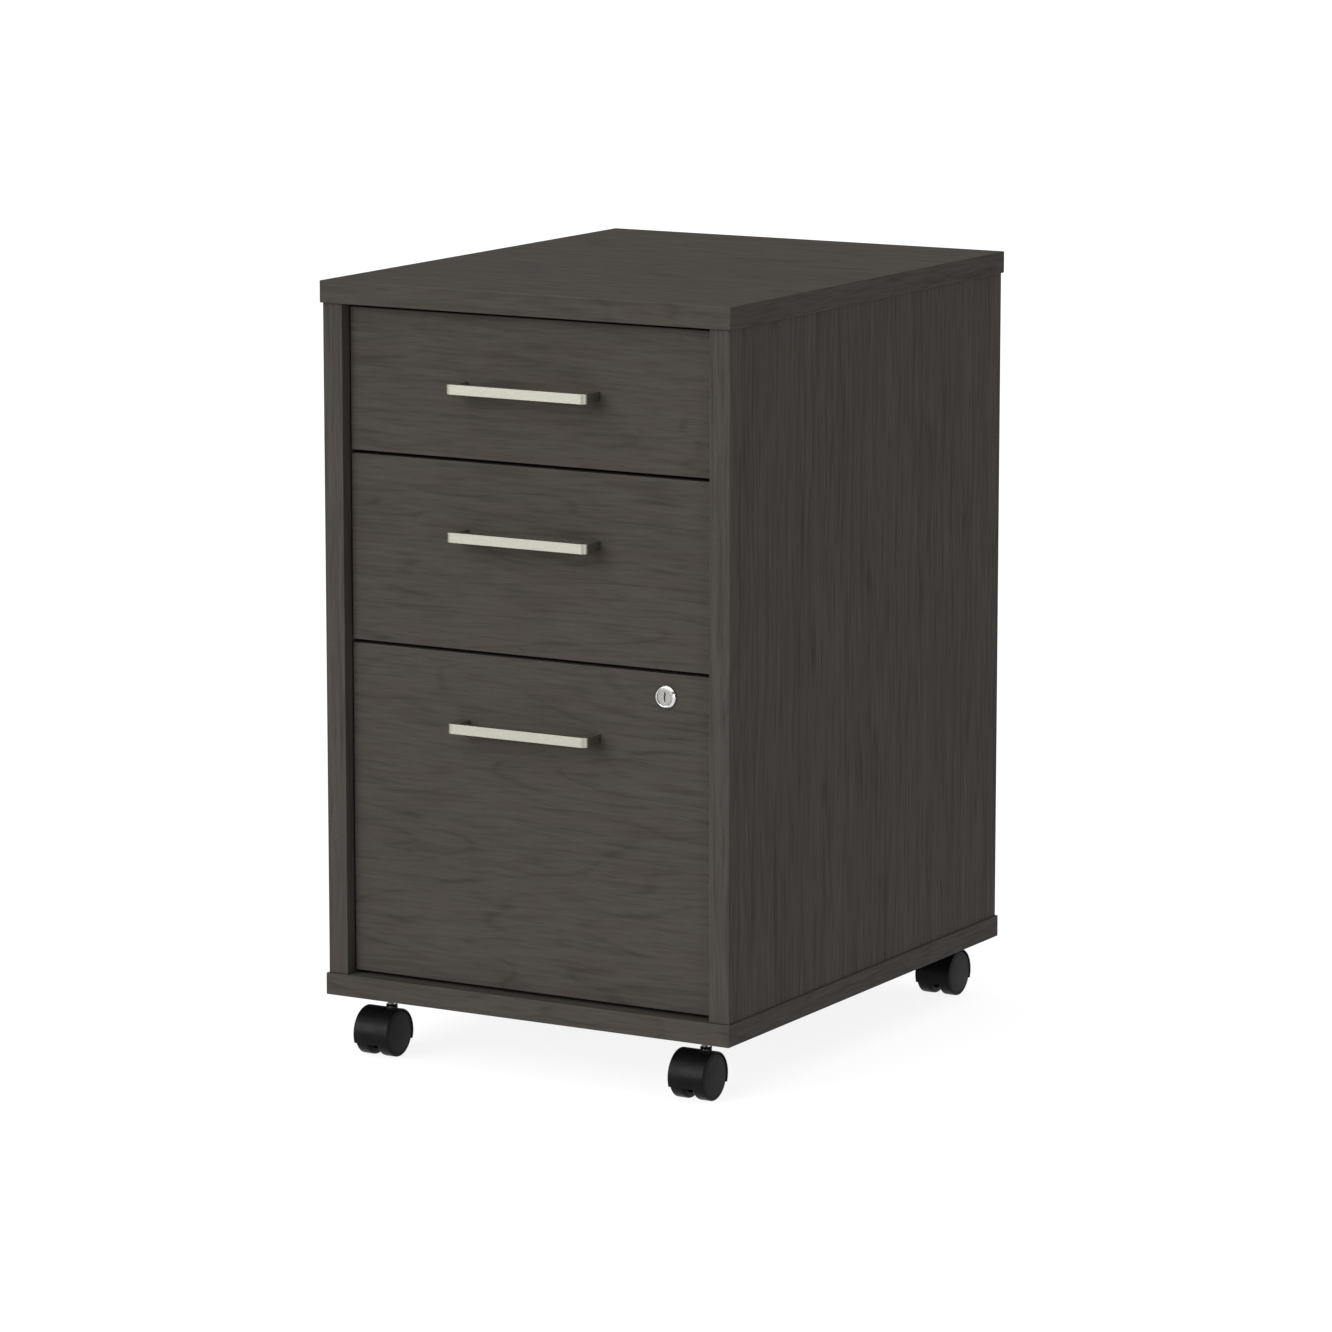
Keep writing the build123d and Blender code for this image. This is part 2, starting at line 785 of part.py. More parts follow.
# ---------------------------------------------------------------- casters
def caster_stem(x, y):
    """A steel stem: a thin pin in the hood's collar and a thicker shank in the panel's insert."""
    pin = rod_z(pin_radius, collar_z - pin_depth, collar_z + thrust_gap, x, y)
    shank = rod_z(stem_radius, collar_z + thrust_gap, bottom_z + stem_depth, x, y)
    return pin + shank


def caster_insert(x, y):
    """A sleeve pressed into the bottom panel that holds the stem."""
    sleeve = rod_z(insert_radius, bottom_z, bottom_z + insert_length, x, y)
    return sleeve - rod_z(stem_radius + seat_fit, bottom_z, bottom_z + stem_depth, x, y)


def caster_hood(x, y, way):
    """The moulded hood over both wheels, with the web between them and the stem's collar."""
    axle_y = y + way * caster_trail
    collar = rod_z(collar_radius, collar_z - collar_depth, collar_z, x, y)
    drum = rod_x(hood_radius, x - caster_half, x + caster_half, axle_y, axle_z) + collar
    for side in (-1, 1):
        web_x = x + side * hood_web / 2
        drum = drum - rod_x(hood_inner_radius, web_x, x + side * (caster_half + 1.0), axle_y, axle_z)
    skirt_z = axle_z - hood_skirt_drop
    reach = 2 * hood_radius
    lower = block(
        (x - reach, x + reach), (axle_y - reach, axle_y + reach), (skirt_z - reach, skirt_z)
    )
    bore = rod_z(pin_radius + pin_fit, collar_z - pin_depth - pin_fit, collar_z, x, y)
    axle_hole = rod_x(axle_radius + seat_fit, x - hood_web, x + hood_web, axle_y, axle_z)
    return drill(drum - lower, [bore, axle_hole])


def caster_axle(x, y, way):
    """The steel axle through the web, with both wheels on its ends."""
    reach = wheel_inner_x + wheel_bore_depth - wheel_side_clearance
    return rod_x(axle_radius, x - reach, x + reach, y + way * caster_trail, axle_z)


def caster_wheel(x, y, way, side):
    """One wheel: smooth outer disc, dished inner face and a blind hub bore."""
    axle_y = y + way * caster_trail
    inner = x + side * wheel_inner_x
    outer = x + side * caster_half
    wheel = rod_x(wheel_radius, inner, outer, axle_y, axle_z)
    rims = wheel.edges().filter_by(GeomType.CIRCLE)
    outer_rim = [edge for edge in rims if abs(edge.arc_center.X - outer) < 0.01]
    wheel = fillet(outer_rim, wheel_edge_radius)
    dish_end = inner + side * wheel_dish_depth
    dish = rod_x(wheel_dish_radius, inner, dish_end, axle_y, axle_z)
    dish = dish - rod_x(wheel_hub_radius, inner, dish_end, axle_y, axle_z)
    bore = rod_x(axle_radius + axle_fit, inner, inner + side * wheel_bore_depth, axle_y, axle_z)
    return wheel - dish - bore


# ---------------------------------------------------------------- writing the parts
def write_case():
    """The panels, rail, fixed slide members and their fasteners."""
    save("top_panel", top_panel())
    save("bottom_panel", bottom_panel())
    save("left_side_panel", side_panel(-1))
    save("right_side_panel", side_panel(1))
    save("back_panel", back_panel())
    save("lock_rail", lock_rail())
    save("lock_strike_plate", lock_strike_plate())
    save("cam_lock_nuts", group([cam_nut(*place) for place in case_joint_places()]))
    save("cam_lock_bolts", group([cam_bolt(*place) for place in case_joint_places()]))
    save("wood_dowels", group(case_dowels() + rail_dowels()))
    save("case_slide_channels", case_slide_channels())
    save("case_screws", group(case_slide_screws() + strike_screws()))
    save("caster_stems", group([caster_stem(x, y) for x, y, _ in casters.values()]))
    save("caster_inserts", group([caster_insert(x, y) for x, y, _ in casters.values()]))


def write_drawer(name):
    """One drawer: front, box, moving slide members, handle and fasteners."""
    save(name + "_front", drawer_front(name))
    save(name + "_sides", drawer_sides(name))
    save(name + "_back", drawer_back(name))
    save(name + "_bottom", bottom_board(name))
    save(name + "_middle_slides", middle_slides(name))
    save(name + "_inner_slides", drawer_slides(name))
    save(name + "_handle", handle(name))
    save(name + "_fasteners", drawer_fasteners(name))


def write_lock():
    """The cam lock in the file drawer's front."""
    save("lock_barrel", lock_barrel())
    save("lock_nut", lock_nut())
    save("lock_plug", lock_plug())
    save("lock_cam", lock_cam())
    save("lock_cam_screw", lock_cam_screw())


def write_caster(name):
    """One caster: hood, axle and two wheels."""
    x, y, way = casters[name]
    save(name + "_hood", caster_hood(x, y, way))
    save(name + "_axle", caster_axle(x, y, way))
    save(name + "_left_wheel", caster_wheel(x, y, way, -1))
    save(name + "_right_wheel", caster_wheel(x, y, way, 1))


os.makedirs("parts", exist_ok=True)
write_case()
for drawer_name in drawers:
    write_drawer(drawer_name)
write_lock()
save("hanging_file_rails", hanging_file_rails())
for caster_name in casters:
    write_caster(caster_name)
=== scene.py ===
"""Looks of a mobile drawer pedestal: laminate case, drawers, bow handles, lock and casters."""

import json
import logging
import math
from dataclasses import dataclass
from enum import Enum
from typing import Callable, List, Optional, Sequence, Set, Tuple

import bpy
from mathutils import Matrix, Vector


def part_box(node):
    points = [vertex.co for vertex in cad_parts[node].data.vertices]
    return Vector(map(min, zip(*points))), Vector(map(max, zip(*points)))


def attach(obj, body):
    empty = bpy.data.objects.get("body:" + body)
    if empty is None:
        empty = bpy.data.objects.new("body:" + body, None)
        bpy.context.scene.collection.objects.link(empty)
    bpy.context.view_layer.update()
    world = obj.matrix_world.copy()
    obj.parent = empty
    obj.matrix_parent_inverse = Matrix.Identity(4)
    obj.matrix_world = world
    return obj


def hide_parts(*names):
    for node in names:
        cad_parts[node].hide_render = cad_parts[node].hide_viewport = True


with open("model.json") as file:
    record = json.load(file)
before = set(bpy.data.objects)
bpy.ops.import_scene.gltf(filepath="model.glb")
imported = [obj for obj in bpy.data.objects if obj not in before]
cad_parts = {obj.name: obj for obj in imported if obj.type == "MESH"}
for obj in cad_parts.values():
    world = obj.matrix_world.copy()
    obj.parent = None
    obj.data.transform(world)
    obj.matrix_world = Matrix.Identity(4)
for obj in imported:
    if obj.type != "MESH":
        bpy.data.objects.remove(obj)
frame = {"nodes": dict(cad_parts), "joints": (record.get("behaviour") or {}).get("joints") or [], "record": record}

Triple = Tuple[float, float, float]
Pair = Tuple[float, float]
Profile = List[Pair]
Test = Callable[[Vector, Vector], bool]
Socket = bpy.types.NodeSocket
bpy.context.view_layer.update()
MM = 0.001
log = logging.getLogger("pedestal")


class Axis(Enum):
    """An axis of the frame, with its unit direction."""

    X = (1.0, 0.0, 0.0)
    Y = (0.0, 1.0, 0.0)
    Z = (0.0, 0.0, 1.0)


class Side(Enum):
    """Left or right, as the sign of X."""

    LEFT = -1
    RIGHT = 1


# ------------------------------------------------------------------ the modelling bench


class Bench:
    """Models pieces with the mesh operators, one piece at a time."""

    WELD = 0.002 * MM

    @staticmethod
    def clear() -> None:
        """Deselects everything."""
        if bpy.context.mode != "OBJECT":
            bpy.ops.object.mode_set(mode="OBJECT")
        bpy.ops.object.select_all(action="DESELECT")

    @staticmethod
    def take(piece: bpy.types.Object) -> None:
        """Makes one piece the only selected and the active object.

        Args:
            piece: the piece.
        """
        Bench.clear()
        piece.select_set(True)
        bpy.context.view_layer.objects.active = piece

    @staticmethod
    def settle(piece: bpy.types.Object, name: str) -> bpy.types.Object:
        """Names a piece and puts its place and size into its mesh.

        Args:
            piece: the piece.
            name: its name, and its mesh's.

        Returns:
            The piece.
        """
        Bench.take(piece)
        bpy.ops.object.transform_apply(location=True, rotation=True, scale=True)
        piece.name = name
        piece.data.name = name
        return piece

    @staticmethod
    def block(name: str, low: Triple, high: Triple) -> bpy.types.Object:
        """Adds a block between two corners.

        Args:
            name: the piece's name.
            low: lowest corner, in metres.
            high: highest corner, in metres.

        Returns:
            The new block, which later steps shape further.
        """
        Bench.clear()
        centre = [(a + b) / 2 for a, b in zip(low, high)]
        bpy.ops.mesh.primitive_cube_add(size=1.0, location=centre)
        piece = bpy.context.object
        piece.scale = [b - a for a, b in zip(low, high)]
        return Bench.settle(piece, name)

    @staticmethod
    def pick_faces(piece: bpy.types.Object, test: Test) -> None:
        """Selects the faces whose centre and normal pass a test, and enters edit mode.

        Args:
            piece: the piece to edit.
            test: called with each face's centre and normal.
        """
        Bench.take(piece)
        mesh = piece.data
        for item in [*mesh.vertices, *mesh.edges]:
            item.select = False
        for face in mesh.polygons:
            face.select = test(face.center, face.normal)
        bpy.ops.object.mode_set(mode="EDIT")
        bpy.ops.mesh.select_mode(type="FACE")

    @staticmethod
    def pick_edges(piece: bpy.types.Object, test: Test) -> None:
        """Selects the edges whose two ends pass a test, and enters edit mode.

        Args:
            piece: the piece to edit.
            test: called with each edge's two ends.
        """
        Bench.take(piece)
        bpy.ops.object.mode_set(mode="EDIT")
        bpy.ops.mesh.select_mode(type="EDGE")
        bpy.ops.mesh.select_all(action="DESELECT")
        bpy.ops.object.mode_set(mode="OBJECT")
        mesh = piece.data
        for edge in mesh.edges:
            start, end = (mesh.vertices[i].co for i in edge.vertices)
            edge.select = test(start, end)
        bpy.ops.object.mode_set(mode="EDIT")

    @staticmethod
    def leave() -> None:
        """Leaves edit mode."""
        bpy.ops.object.mode_set(mode="OBJECT")

    @staticmethod
    def bisect(piece: bpy.types.Object, at: Triple, normal: Triple, drop: bool = False) -> None:
        """Cuts a piece by a plane.

        Args:
            piece: the piece to cut.
            at: a point on the plane.
            normal: the plane's normal.
            drop: whether the side that the normal points to is removed and the cut closed.
        """
        Bench.take(piece)
        bpy.ops.object.mode_set(mode="EDIT")
        bpy.ops.mesh.select_all(action="SELECT")
        bpy.ops.mesh.bisect(
            plane_co=at, plane_no=normal, use_fill=drop, clear_inner=False, clear_outer=drop
        )
        Bench.leave()

    @staticmethod
    def push(piece: bpy.types.Object, test: Test, by: Triple) -> None:
        """Extrudes the picked faces of a piece by a vector.

        Args:
            piece: the piece to edit.
            test: picks the faces by centre and normal.
            by: how far they move, in metres.
        """
        Bench.pick_faces(piece, test)
        bpy.ops.mesh.extrude_region_move(TRANSFORM_OT_translate={"value": by})
        Bench.leave()

    @staticmethod
    def round_edges(
        piece: bpy.types.Object, test: Test, radius: float, steps: int
    ) -> None:
        """Rounds the picked edges of a piece.

        Args:
            piece: the piece to edit.
            test: picks the edges by their ends.
            radius: the rounding's radius.
            steps: segments across the rounding.
        """
        Bench.pick_edges(piece, test)
        bpy.ops.mesh.bevel(offset=radius, segments=steps, affect="EDGES", clamp_overlap=True)
        Bench.leave()

    @staticmethod
    def lathe(
        name: str, profile: Profile, centre: Triple, axis: Axis, steps: int, way: int = 1
    ) -> bpy.types.Object:
        """Turns a profile about an axis, as on a lathe.

        Args:
            name: the piece's name.
            profile: (radius, distance along the axis) pairs, in metres.
            centre: the point on the axis where the distance is 0.
            axis: the axis to turn about.
            steps: facets round the turn.
            way: +1 or -1, the way along the axis that distances grow.

        Returns:
            The turned piece, closed and with its normals outwards.
        """
        along = Vector(axis.value) * way
        across = Vector((0.0, 0.0, 1.0)) if axis is not Axis.Z else Vector((1.0, 0.0, 0.0))
        points = [Vector(centre) + across * radius + along * reach for radius, reach in profile]
        Bench.clear()
        bpy.ops.mesh.primitive_plane_add(size=MM, location=points[0])
        piece = Bench.settle(bpy.context.object, name)
        bpy.ops.object.mode_set(mode="EDIT")
        bpy.ops.mesh.select_mode(type="VERT")
        bpy.ops.mesh.select_all(action="SELECT")
        bpy.ops.mesh.merge(type="CENTER")
        for start, end in zip(points, points[1:]):
            bpy.ops.mesh.extrude_region_move(TRANSFORM_OT_translate={"value": end - start})
        bpy.ops.mesh.select_all(action="SELECT")
        bpy.ops.mesh.spin(
            steps=steps, angle=2 * math.pi, center=centre, axis=axis.value, use_auto_merge=True
        )
        bpy.ops.mesh.select_all(action="SELECT")
        bpy.ops.mesh.remove_doubles(threshold=Bench.WELD)
        bpy.ops.mesh.normals_make_consistent(inside=False)
        Bench.leave()
        return piece

    @staticmethod
    def merge_shape(piece: bpy.types.Object, tool: bpy.types.Object, operation: str) -> None:
        """Adds a tool's shape to a piece or cuts it away, and removes the tool.

        Args:
            piece: the piece that stays.
            tool: the piece that is used up.
            operation: UNION or DIFFERENCE.
        """
        Bench.take(piece)
        change = piece.modifiers.new("shape", "BOOLEAN")
        change.operation = operation
        change.solver = "EXACT"
        change.object = tool
        bpy.ops.object.modifier_apply(modifier=change.name)
        bpy.data.objects.remove(tool)

    @staticmethod
    def soften(piece: bpy.types.Object, width: float, steps: int = 2, angle: float = 40.0) -> None:
        """Bevels a piece's sharp edges a little and shades it smooth between them.

        Args:
            piece: the piece to finish.
            width: bevel width, in metres.
            steps: segments across the bevel.
            angle: edges sharper than this many degrees are bevelled.
        """
        Bench.take(piece)
        bevel = piece.modifiers.new("soft", "BEVEL")
        bevel.width = width
        bevel.segments = steps
        bevel.limit_method = "ANGLE"
        bevel.angle_limit = math.radians(angle)
        bevel.use_clamp_overlap = True
        bpy.ops.object.modifier_apply(modifier=bevel.name)
        Bench.smooth(piece)
        Bench.level_normals(piece)

    @staticmethod
    def smooth(piece: bpy.types.Object, angle: float = 32.0) -> None:
        """Shades a piece smooth.

        Args:
            piece: the piece.
            angle: edges sharper than this many degrees stay sharp.
        """
        Bench.take(piece)
        bpy.ops.object.shade_smooth_by_angle(angle=math.radians(angle))

    @staticmethod
    def level_normals(piece: bpy.types.Object) -> None:
        """Keeps the large flat faces flat in the shading beside their rounded edges.

        Args:
            piece: the piece, already shaded smooth.
        """
        Bench.take(piece)
        level = piece.modifiers.new("level", "WEIGHTED_NORMAL")
        level.keep_sharp = True
        bpy.ops.object.modifier_apply(modifier=level.name)

    @staticmethod
    def copy(piece: bpy.types.Object, name: str, shift: Triple) -> bpy.types.Object:
        """Copies a piece with its own mesh, moved by a vector.

        Args:
            piece: the piece to copy.
            name: the copy's name.
            shift: how far the copy stands from the piece.

        Returns:
            The copy, with its place in its mesh.
        """
        Bench.take(piece)
        bpy.ops.object.duplicate_move(TRANSFORM_OT_translate={"value": shift})
        return Bench.settle(bpy.context.object, name)


def arc(centre: Pair, radius: float, start: float, end: float, steps: int) -> Profile:
    """Points along an arc of a lathe profile.

    Args:
        centre: (radius, distance) of the arc's centre.
        radius: the arc's radius.
        start: first angle in degrees, 0 pointing away from the axis and 90 along it.
        end: last angle in degrees.
        steps: segments along the arc.

    Returns:
        The points from start to end.
    """
    points = []
    for i in range(steps + 1):
        angle = math.radians(start + (end - start) * i / steps)
        points.append((centre[0] + radius * math.cos(angle), centre[1] + radius * math.sin(angle)))
    return points


# ------------------------------------------------------------------ node material shorthand


class Tree:
    """A node material under construction.

    COLOUR_MIX and VECTOR_MIX say where a Mix node keeps its two inputs and its output.
    """

    COLOUR_MIX = (6, 7, 2)
    VECTOR_MIX = (4, 5, 1)

    def __init__(self, name: str) -> None:
        """Starts a material with a bare Principled shader.

        Args:
            name: the material's name.
        """
        self.material = bpy.data.materials.new(name)
        self.material.use_nodes = True
        self.nodes = self.material.node_tree.nodes
        self.links = self.material.node_tree.links
        self.shader = self.nodes["Principled BSDF"]
        self.position = self._add("ShaderNodeTexCoord").outputs["Object"]

    def _add(self, kind: str, **settings: object) -> bpy.types.Node:
        """Adds a node.

        Args:
            kind: the node's type.
            settings: its properties.

        Returns:
            The new node.
        """
        node = self.nodes.new(kind)
        for key, value in settings.items():
            setattr(node, key, value)
        return node

    def _feed(self, socket: Socket, value: object) -> None:
        """Links a socket to another or gives it a plain value.

        Args:
            socket: the input to feed.
            value: a socket, a number, a vector or a colour.
        """
        if isinstance(value, Socket):
            self.links.new(value, socket)
        elif isinstance(value, tuple) and len(value) == 3 and socket.type == "RGBA":
            socket.default_value = (*value, 1.0)
        else:
            socket.default_value = value

    def _mix(
        self, kind: str, places: Tuple[int, int, int], amount: object, first: object, second: object
    ) -> Socket:
        """Mixes two values with a Mix node.

        Args:
            kind: the node's data type.
            places: where that type's two inputs and its output stand on the node.
            amount: share of the second value.
            first: value at 0.
            second: value at 1.

        Returns:
            The mixed value.
        """
        node = self._add("ShaderNodeMix", data_type=kind)
        first_in, second_in, result = places
        self._feed(node.inputs["Factor"], amount)
        self._feed(node.inputs[first_in], first)
        self._feed(node.inputs[second_in], second)
        return node.outputs[result]

    def blend(self, amount: object, first: object, second: object) -> Socket:
        """Mixes two colours."""
        return self._mix("RGBA", self.COLOUR_MIX, amount, first, second)

    def choose(self, amount: object, first: object, second: object) -> Socket:
        """Mixes two vectors."""
        return self._mix("VECTOR", self.VECTOR_MIX, amount, first, second)

    def stretch(self, scale: Triple, source: Optional[Socket] = None) -> Socket:
        """Coordinates scaled along each axis, so a pattern can run long one way.

        Args:
            scale: repeats per metre along X, Y and Z.
            source: coordinates to scale, if not the object's own.

        Returns:
            The scaled coordinates.
        """
        node = self._add("ShaderNodeMapping")
        self._feed(node.inputs["Vector"], source or self.position)
        node.inputs["Scale"].default_value = scale
        return node.outputs["Vector"]

    def noise(self, vector: Socket, scale: float, detail: float) -> Socket:
        """Noise from 0 to 1.

        Args:
            vector: the coordinates.
            scale: repeats per unit of them.
            detail: finer layers added.

        Returns:
            The noise.
        """
        node = self._add("ShaderNodeTexNoise")
        self._feed(node.inputs["Vector"], vector)
        node.inputs["Scale"].default_value = scale
        node.inputs["Detail"].default_value = detail
        return node.outputs["Fac"]

    def spangle(self, vector: Socket, scale: float) -> Socket:
        """A random grey for each crystal-like cell.

        Args:
            vector: the coordinates.
            scale: cells per unit of them.

        Returns:
            The grey.
        """
        node = self._add("ShaderNodeTexVoronoi")
        self._feed(node.inputs["Vector"], vector)
        node.inputs["Scale"].default_value = scale
        split = self._add("ShaderNodeSeparateColor")
        self.links.new(node.outputs["Color"], split.inputs["Color"])
        return split.outputs["Red"]

    def maths(self, operation: str, first: object, second: object) -> Socket:
        """Works on two numbers.

        Args:
            operation: the math node's operation.
            first: a socket or a number.
            second: a socket or a number.

        Returns:
            The result.
        """
        node = self._add("ShaderNodeMath", operation=operation)
        self._feed(node.inputs[0], first)
        self._feed(node.inputs[1], second)
        return node.outputs["Value"]

    def span(
        self, value: Socket, low: float, high: float, to_low: float, to_high: float
    ) -> Socket:
        """Maps a range of a value onto another range, clamped.

        Args:
            value: the value.
            low: start of its range.
            high: end of its range.
            to_low: result at the start.
            to_high: result at the end.

        Returns:
            The mapped value.
        """
        node = self._add("ShaderNodeMapRange", clamp=True)
        for name, number in zip(("Value", 1, 2, 3, 4), (value, low, high, to_low, to_high)):
            self._feed(node.inputs[name], number)
        return node.outputs["Result"]

    def normal_parts(self) -> Sequence[Socket]:
        """X, Y and Z of the surface normal, without their signs.

        Returns:
            The three sockets.
        """
        geometry = self._add("ShaderNodeNewGeometry")
        flat = self._add("ShaderNodeVectorMath", operation="ABSOLUTE")
        self.links.new(geometry.outputs["Normal"], flat.inputs[0])
        split = self._add("ShaderNodeSeparateXYZ")
        self.links.new(flat.outputs["Vector"], split.inputs["Vector"])
        return split.outputs

    def edge_zone(self) -> Socket:
        """1 on the rounded edges between square faces, 0 on the faces themselves.

        Returns:
            The share of edge.
        """
        x, y, z = self.normal_parts()
        most = self.maths("MAXIMUM", self.maths("MAXIMUM", x, y), z)
        rounded, flat = 0.86, 0.995
        return self.span(most, rounded, flat, 1.0, 0.0)

    def wander(self, vector: Socket, reach: float) -> Socket:
        """Object coordinates moved about by slow noise, so straight lines wander.

        Args:
            vector: coordinates of the noise.
            reach: how far it moves them, in metres.

        Returns:
            The moved coordinates.
        """
        node = self._add("ShaderNodeTexNoise")
        self._feed(node.inputs["Vector"], vector)
        node.inputs["Scale"].default_value = 1.0
        node.inputs["Detail"].default_value = 1.0
        centred = self._add("ShaderNodeVectorMath", operation="SUBTRACT")
        self.links.new(node.outputs["Color"], centred.inputs[0])
        centred.inputs[1].default_value = (0.5, 0.5, 0.5)
        scaled = self._add("ShaderNodeVectorMath", operation="SCALE")
        self.links.new(centred.outputs["Vector"], scaled.inputs[0])
        scaled.inputs["Scale"].default_value = reach
        moved = self._add("ShaderNodeVectorMath", operation="ADD")
        self._feed(moved.inputs[0], self.position)
        self.links.new(scaled.outputs["Vector"], moved.inputs[1])
        return moved.outputs["Vector"]

    def relief(self, height: Socket, depth: float, strength: float) -> None:
        """Puts a bump on the shader's normal.

        Args:
            height: the bump's height, from 0 to 1.
            depth: what a height of 1 stands for, in metres.
            strength: share of the bump that shows.
        """
        node = self._add("ShaderNodeBump")
        self._feed(node.inputs["Height"], height)
        node.inputs["Distance"].default_value = depth
        node.inputs["Strength"].default_value = strength
        self.links.new(node.outputs["Normal"], self.shader.inputs["Normal"])

    def finish(self, colour: object, roughness: object, **constants: float) -> bpy.types.Material:
        """Feeds the shader and returns the material.

        Args:
            colour: base colour, a socket or three numbers.
            roughness: a socket or a number.
            constants: further shader inputs by name, with underscores for spaces.

        Returns:
            The finished material.
        """
        self._feed(self.shader.inputs["Base Color"], colour)
        self._feed(self.shader.inputs["Roughness"], roughness)
        for name, value in constants.items():
            self.shader.inputs[name.replace("_", " ")].default_value = value
        return self.material


# ------------------------------------------------------------------ finishes


@dataclass(frozen=True)
class WoodgrainLaminate:
    """Dark grey-brown woodgrain foil: broad bands, wandering fibres, pores and a reddish cast.

    The pattern sizes are repeats per metre, (along the grain, across the grain).
    """

    name: str
    grain: Axis
    edge_grain: Axis
    bands: Pair
    streaks: Pair
    fibres: Pair
    pores: Pair = (120.0, 1500.0)
    patches: Pair = (16.0, 60.0)
    drift: Pair = (7.0, 16.0)
    drift_reach: float = 9.0 * MM
    rings: float = 26.0
    ring_width: float = 0.22
    ground: Triple = (0.0438, 0.0390, 0.0338)
    dark: Triple = (0.0235, 0.0200, 0.0163)
    light: Triple = (0.0560, 0.0497, 0.0425)
    reddish: Triple = (0.0470, 0.0340, 0.0310)

    def _lay(
        self, tree: Tree, on_edge: Socket, size: Pair, source: Optional[Socket] = None
    ) -> Socket:
        """Grain coordinates for one pattern size, turned where the side edge bands run.

        Args:
            tree: the material.
            on_edge: 1 on the side edge bands, 0 elsewhere.
            size: repeats along and across the grain.
            source: coordinates to start from, if not the object's own.

        Returns:
            The pattern's coordinates.
        """

        def along(grain: Axis) -> Socket:
            """Coordinates that run slowly along one grain and fast across it."""
            scale = tuple(size[0] if unit else size[1] for unit in grain.value)
            return tree.stretch(scale, source)

        if self.edge_grain is self.grain:
            return along(self.grain)
        return tree.choose(on_edge, along(self.grain), along(self.edge_grain))

    def material(self) -> bpy.types.Material:
        """Builds the node material.

        Returns:
            The foil's material.
        """
        tree = Tree(self.name)
        on_edge = tree.span(tree.normal_parts()[0], 0.70, 0.72, 0.0, 1.0)
        moved = tree.wander(self._lay(tree, on_edge, self.drift), self.drift_reach)
        bands = tree.noise(self._lay(tree, on_edge, self.bands, moved), 1.0, 2.0)
        streaks = tree.noise(self._lay(tree, on_edge, self.streaks, moved), 1.0, 3.0)
        fibres = tree.noise(self._lay(tree, on_edge, self.fibres, moved), 1.0, 2.0)
        pores = tree.noise(self._lay(tree, on_edge, self.pores), 1.0, 1.0)
        patches = tree.noise(self._lay(tree, on_edge, self.patches, moved), 1.0, 2.0)
        rings = tree.maths("PINGPONG", tree.maths("MULTIPLY", bands, self.rings), 1.0)
        broken = tree.span(streaks, 0.40, 0.60, 0.15, 0.50)
        ring_lines = tree.span(rings, 0.0, self.ring_width, 1.0, 0.0)
        ring_lines = tree.maths("MULTIPLY", ring_lines, broken)
        tone = tree.blend(tree.span(bands, 0.35, 0.62, 0.12, 0.0), self.ground, self.dark)
        tone = tree.blend(ring_lines, tone, self.dark)
        for pattern, start, full, most, colour in (
            (streaks, 0.50, 0.66, 0.26, self.dark),
            (streaks, 0.49, 0.34, 0.20, self.light),
            (fibres, 0.52, 0.70, 0.34, self.dark),
            (fibres, 0.46, 0.30, 0.28, self.light),
            (pores, 0.60, 0.72, 0.30, self.dark),
            (patches, 0.52, 0.70, 0.28, self.reddish),
        ):
            tone = tree.blend(tree.span(pattern, start, full, 0.0, most), tone, colour)
        # Painted highlight: the rounded edges are blended a little towards the light tone.
        tone_with_painted_highlight = tree.blend(tree.maths("MULTIPLY", tree.edge_zone(), 0.35), tone, self.light)
        rough = tree.span(fibres, 0.3, 0.7, 0.48, 0.60)
        height = tree.maths("SUBTRACT", tree.maths("MULTIPLY", fibres, 0.5), pores)
        tree.relief(height, 0.05 * MM, 0.5)
        return tree.finish(tone_with_painted_highlight, rough, Specular_IOR_Level=0.03)


@dataclass(frozen=True)
class FacedBoard:
    """Plain melamine-faced board, with a fine speckle and a faint painted highlight on its rounded edges."""

    name: str
    ground: Triple
    fleck: Triple
    roughness: float = 0.5

    def material(self) -> bpy.types.Material:
        """Builds the node material.

        Returns:
            The finish.
        """
        tree = Tree(self.name)
        speckle = tree.noise(tree.position, 900.0, 2.0)
        cloud = tree.noise(tree.position, 14.0, 3.0)
        streak = tree.noise(tree.stretch((40.0, 8.0, 260.0)), 1.0, 2.0)
        mottled = tree.blend(tree.span(speckle, 0.45, 0.7, 0.0, 0.6), self.ground, self.fleck)
        mottled = tree.blend(tree.span(streak, 0.5, 0.8, 0.0, 0.35), mottled, self.fleck)
        # Painted highlight: the rounded edges are blended towards the lighter fleck tone.
        tone_with_painted_highlight = tree.blend(tree.maths("MULTIPLY", tree.edge_zone(), 0.3), mottled, self.fleck)
        low, high = self.roughness - 0.06, self.roughness + 0.08
        tree.relief(speckle, 0.03 * MM, 0.4)
        return tree.finish(tone_with_painted_highlight, tree.span(cloud, 0.3, 0.7, low, high))


@dataclass(frozen=True)
class Beech:
    """Pale dowel wood with its grain along one axis."""

    name: str
    pale: Triple = (0.58, 0.41, 0.25)
    deep: Triple = (0.40, 0.26, 0.14)

    def material(self) -> bpy.types.Material:
        """Builds the node material.

        Returns:
            The finish.
        """
        tree = Tree(self.name)
        fibre = tree.noise(tree.stretch((700.0, 700.0, 60.0)), 1.0, 3.0)
        tone = tree.blend(tree.span(fibre, 0.35, 0.7, 0.0, 1.0), self.pale, self.deep)
        tree.relief(fibre, 0.05 * MM, 0.5)
        return tree.finish(tone, tree.span(fibre, 0.3, 0.7, 0.55, 0.7))


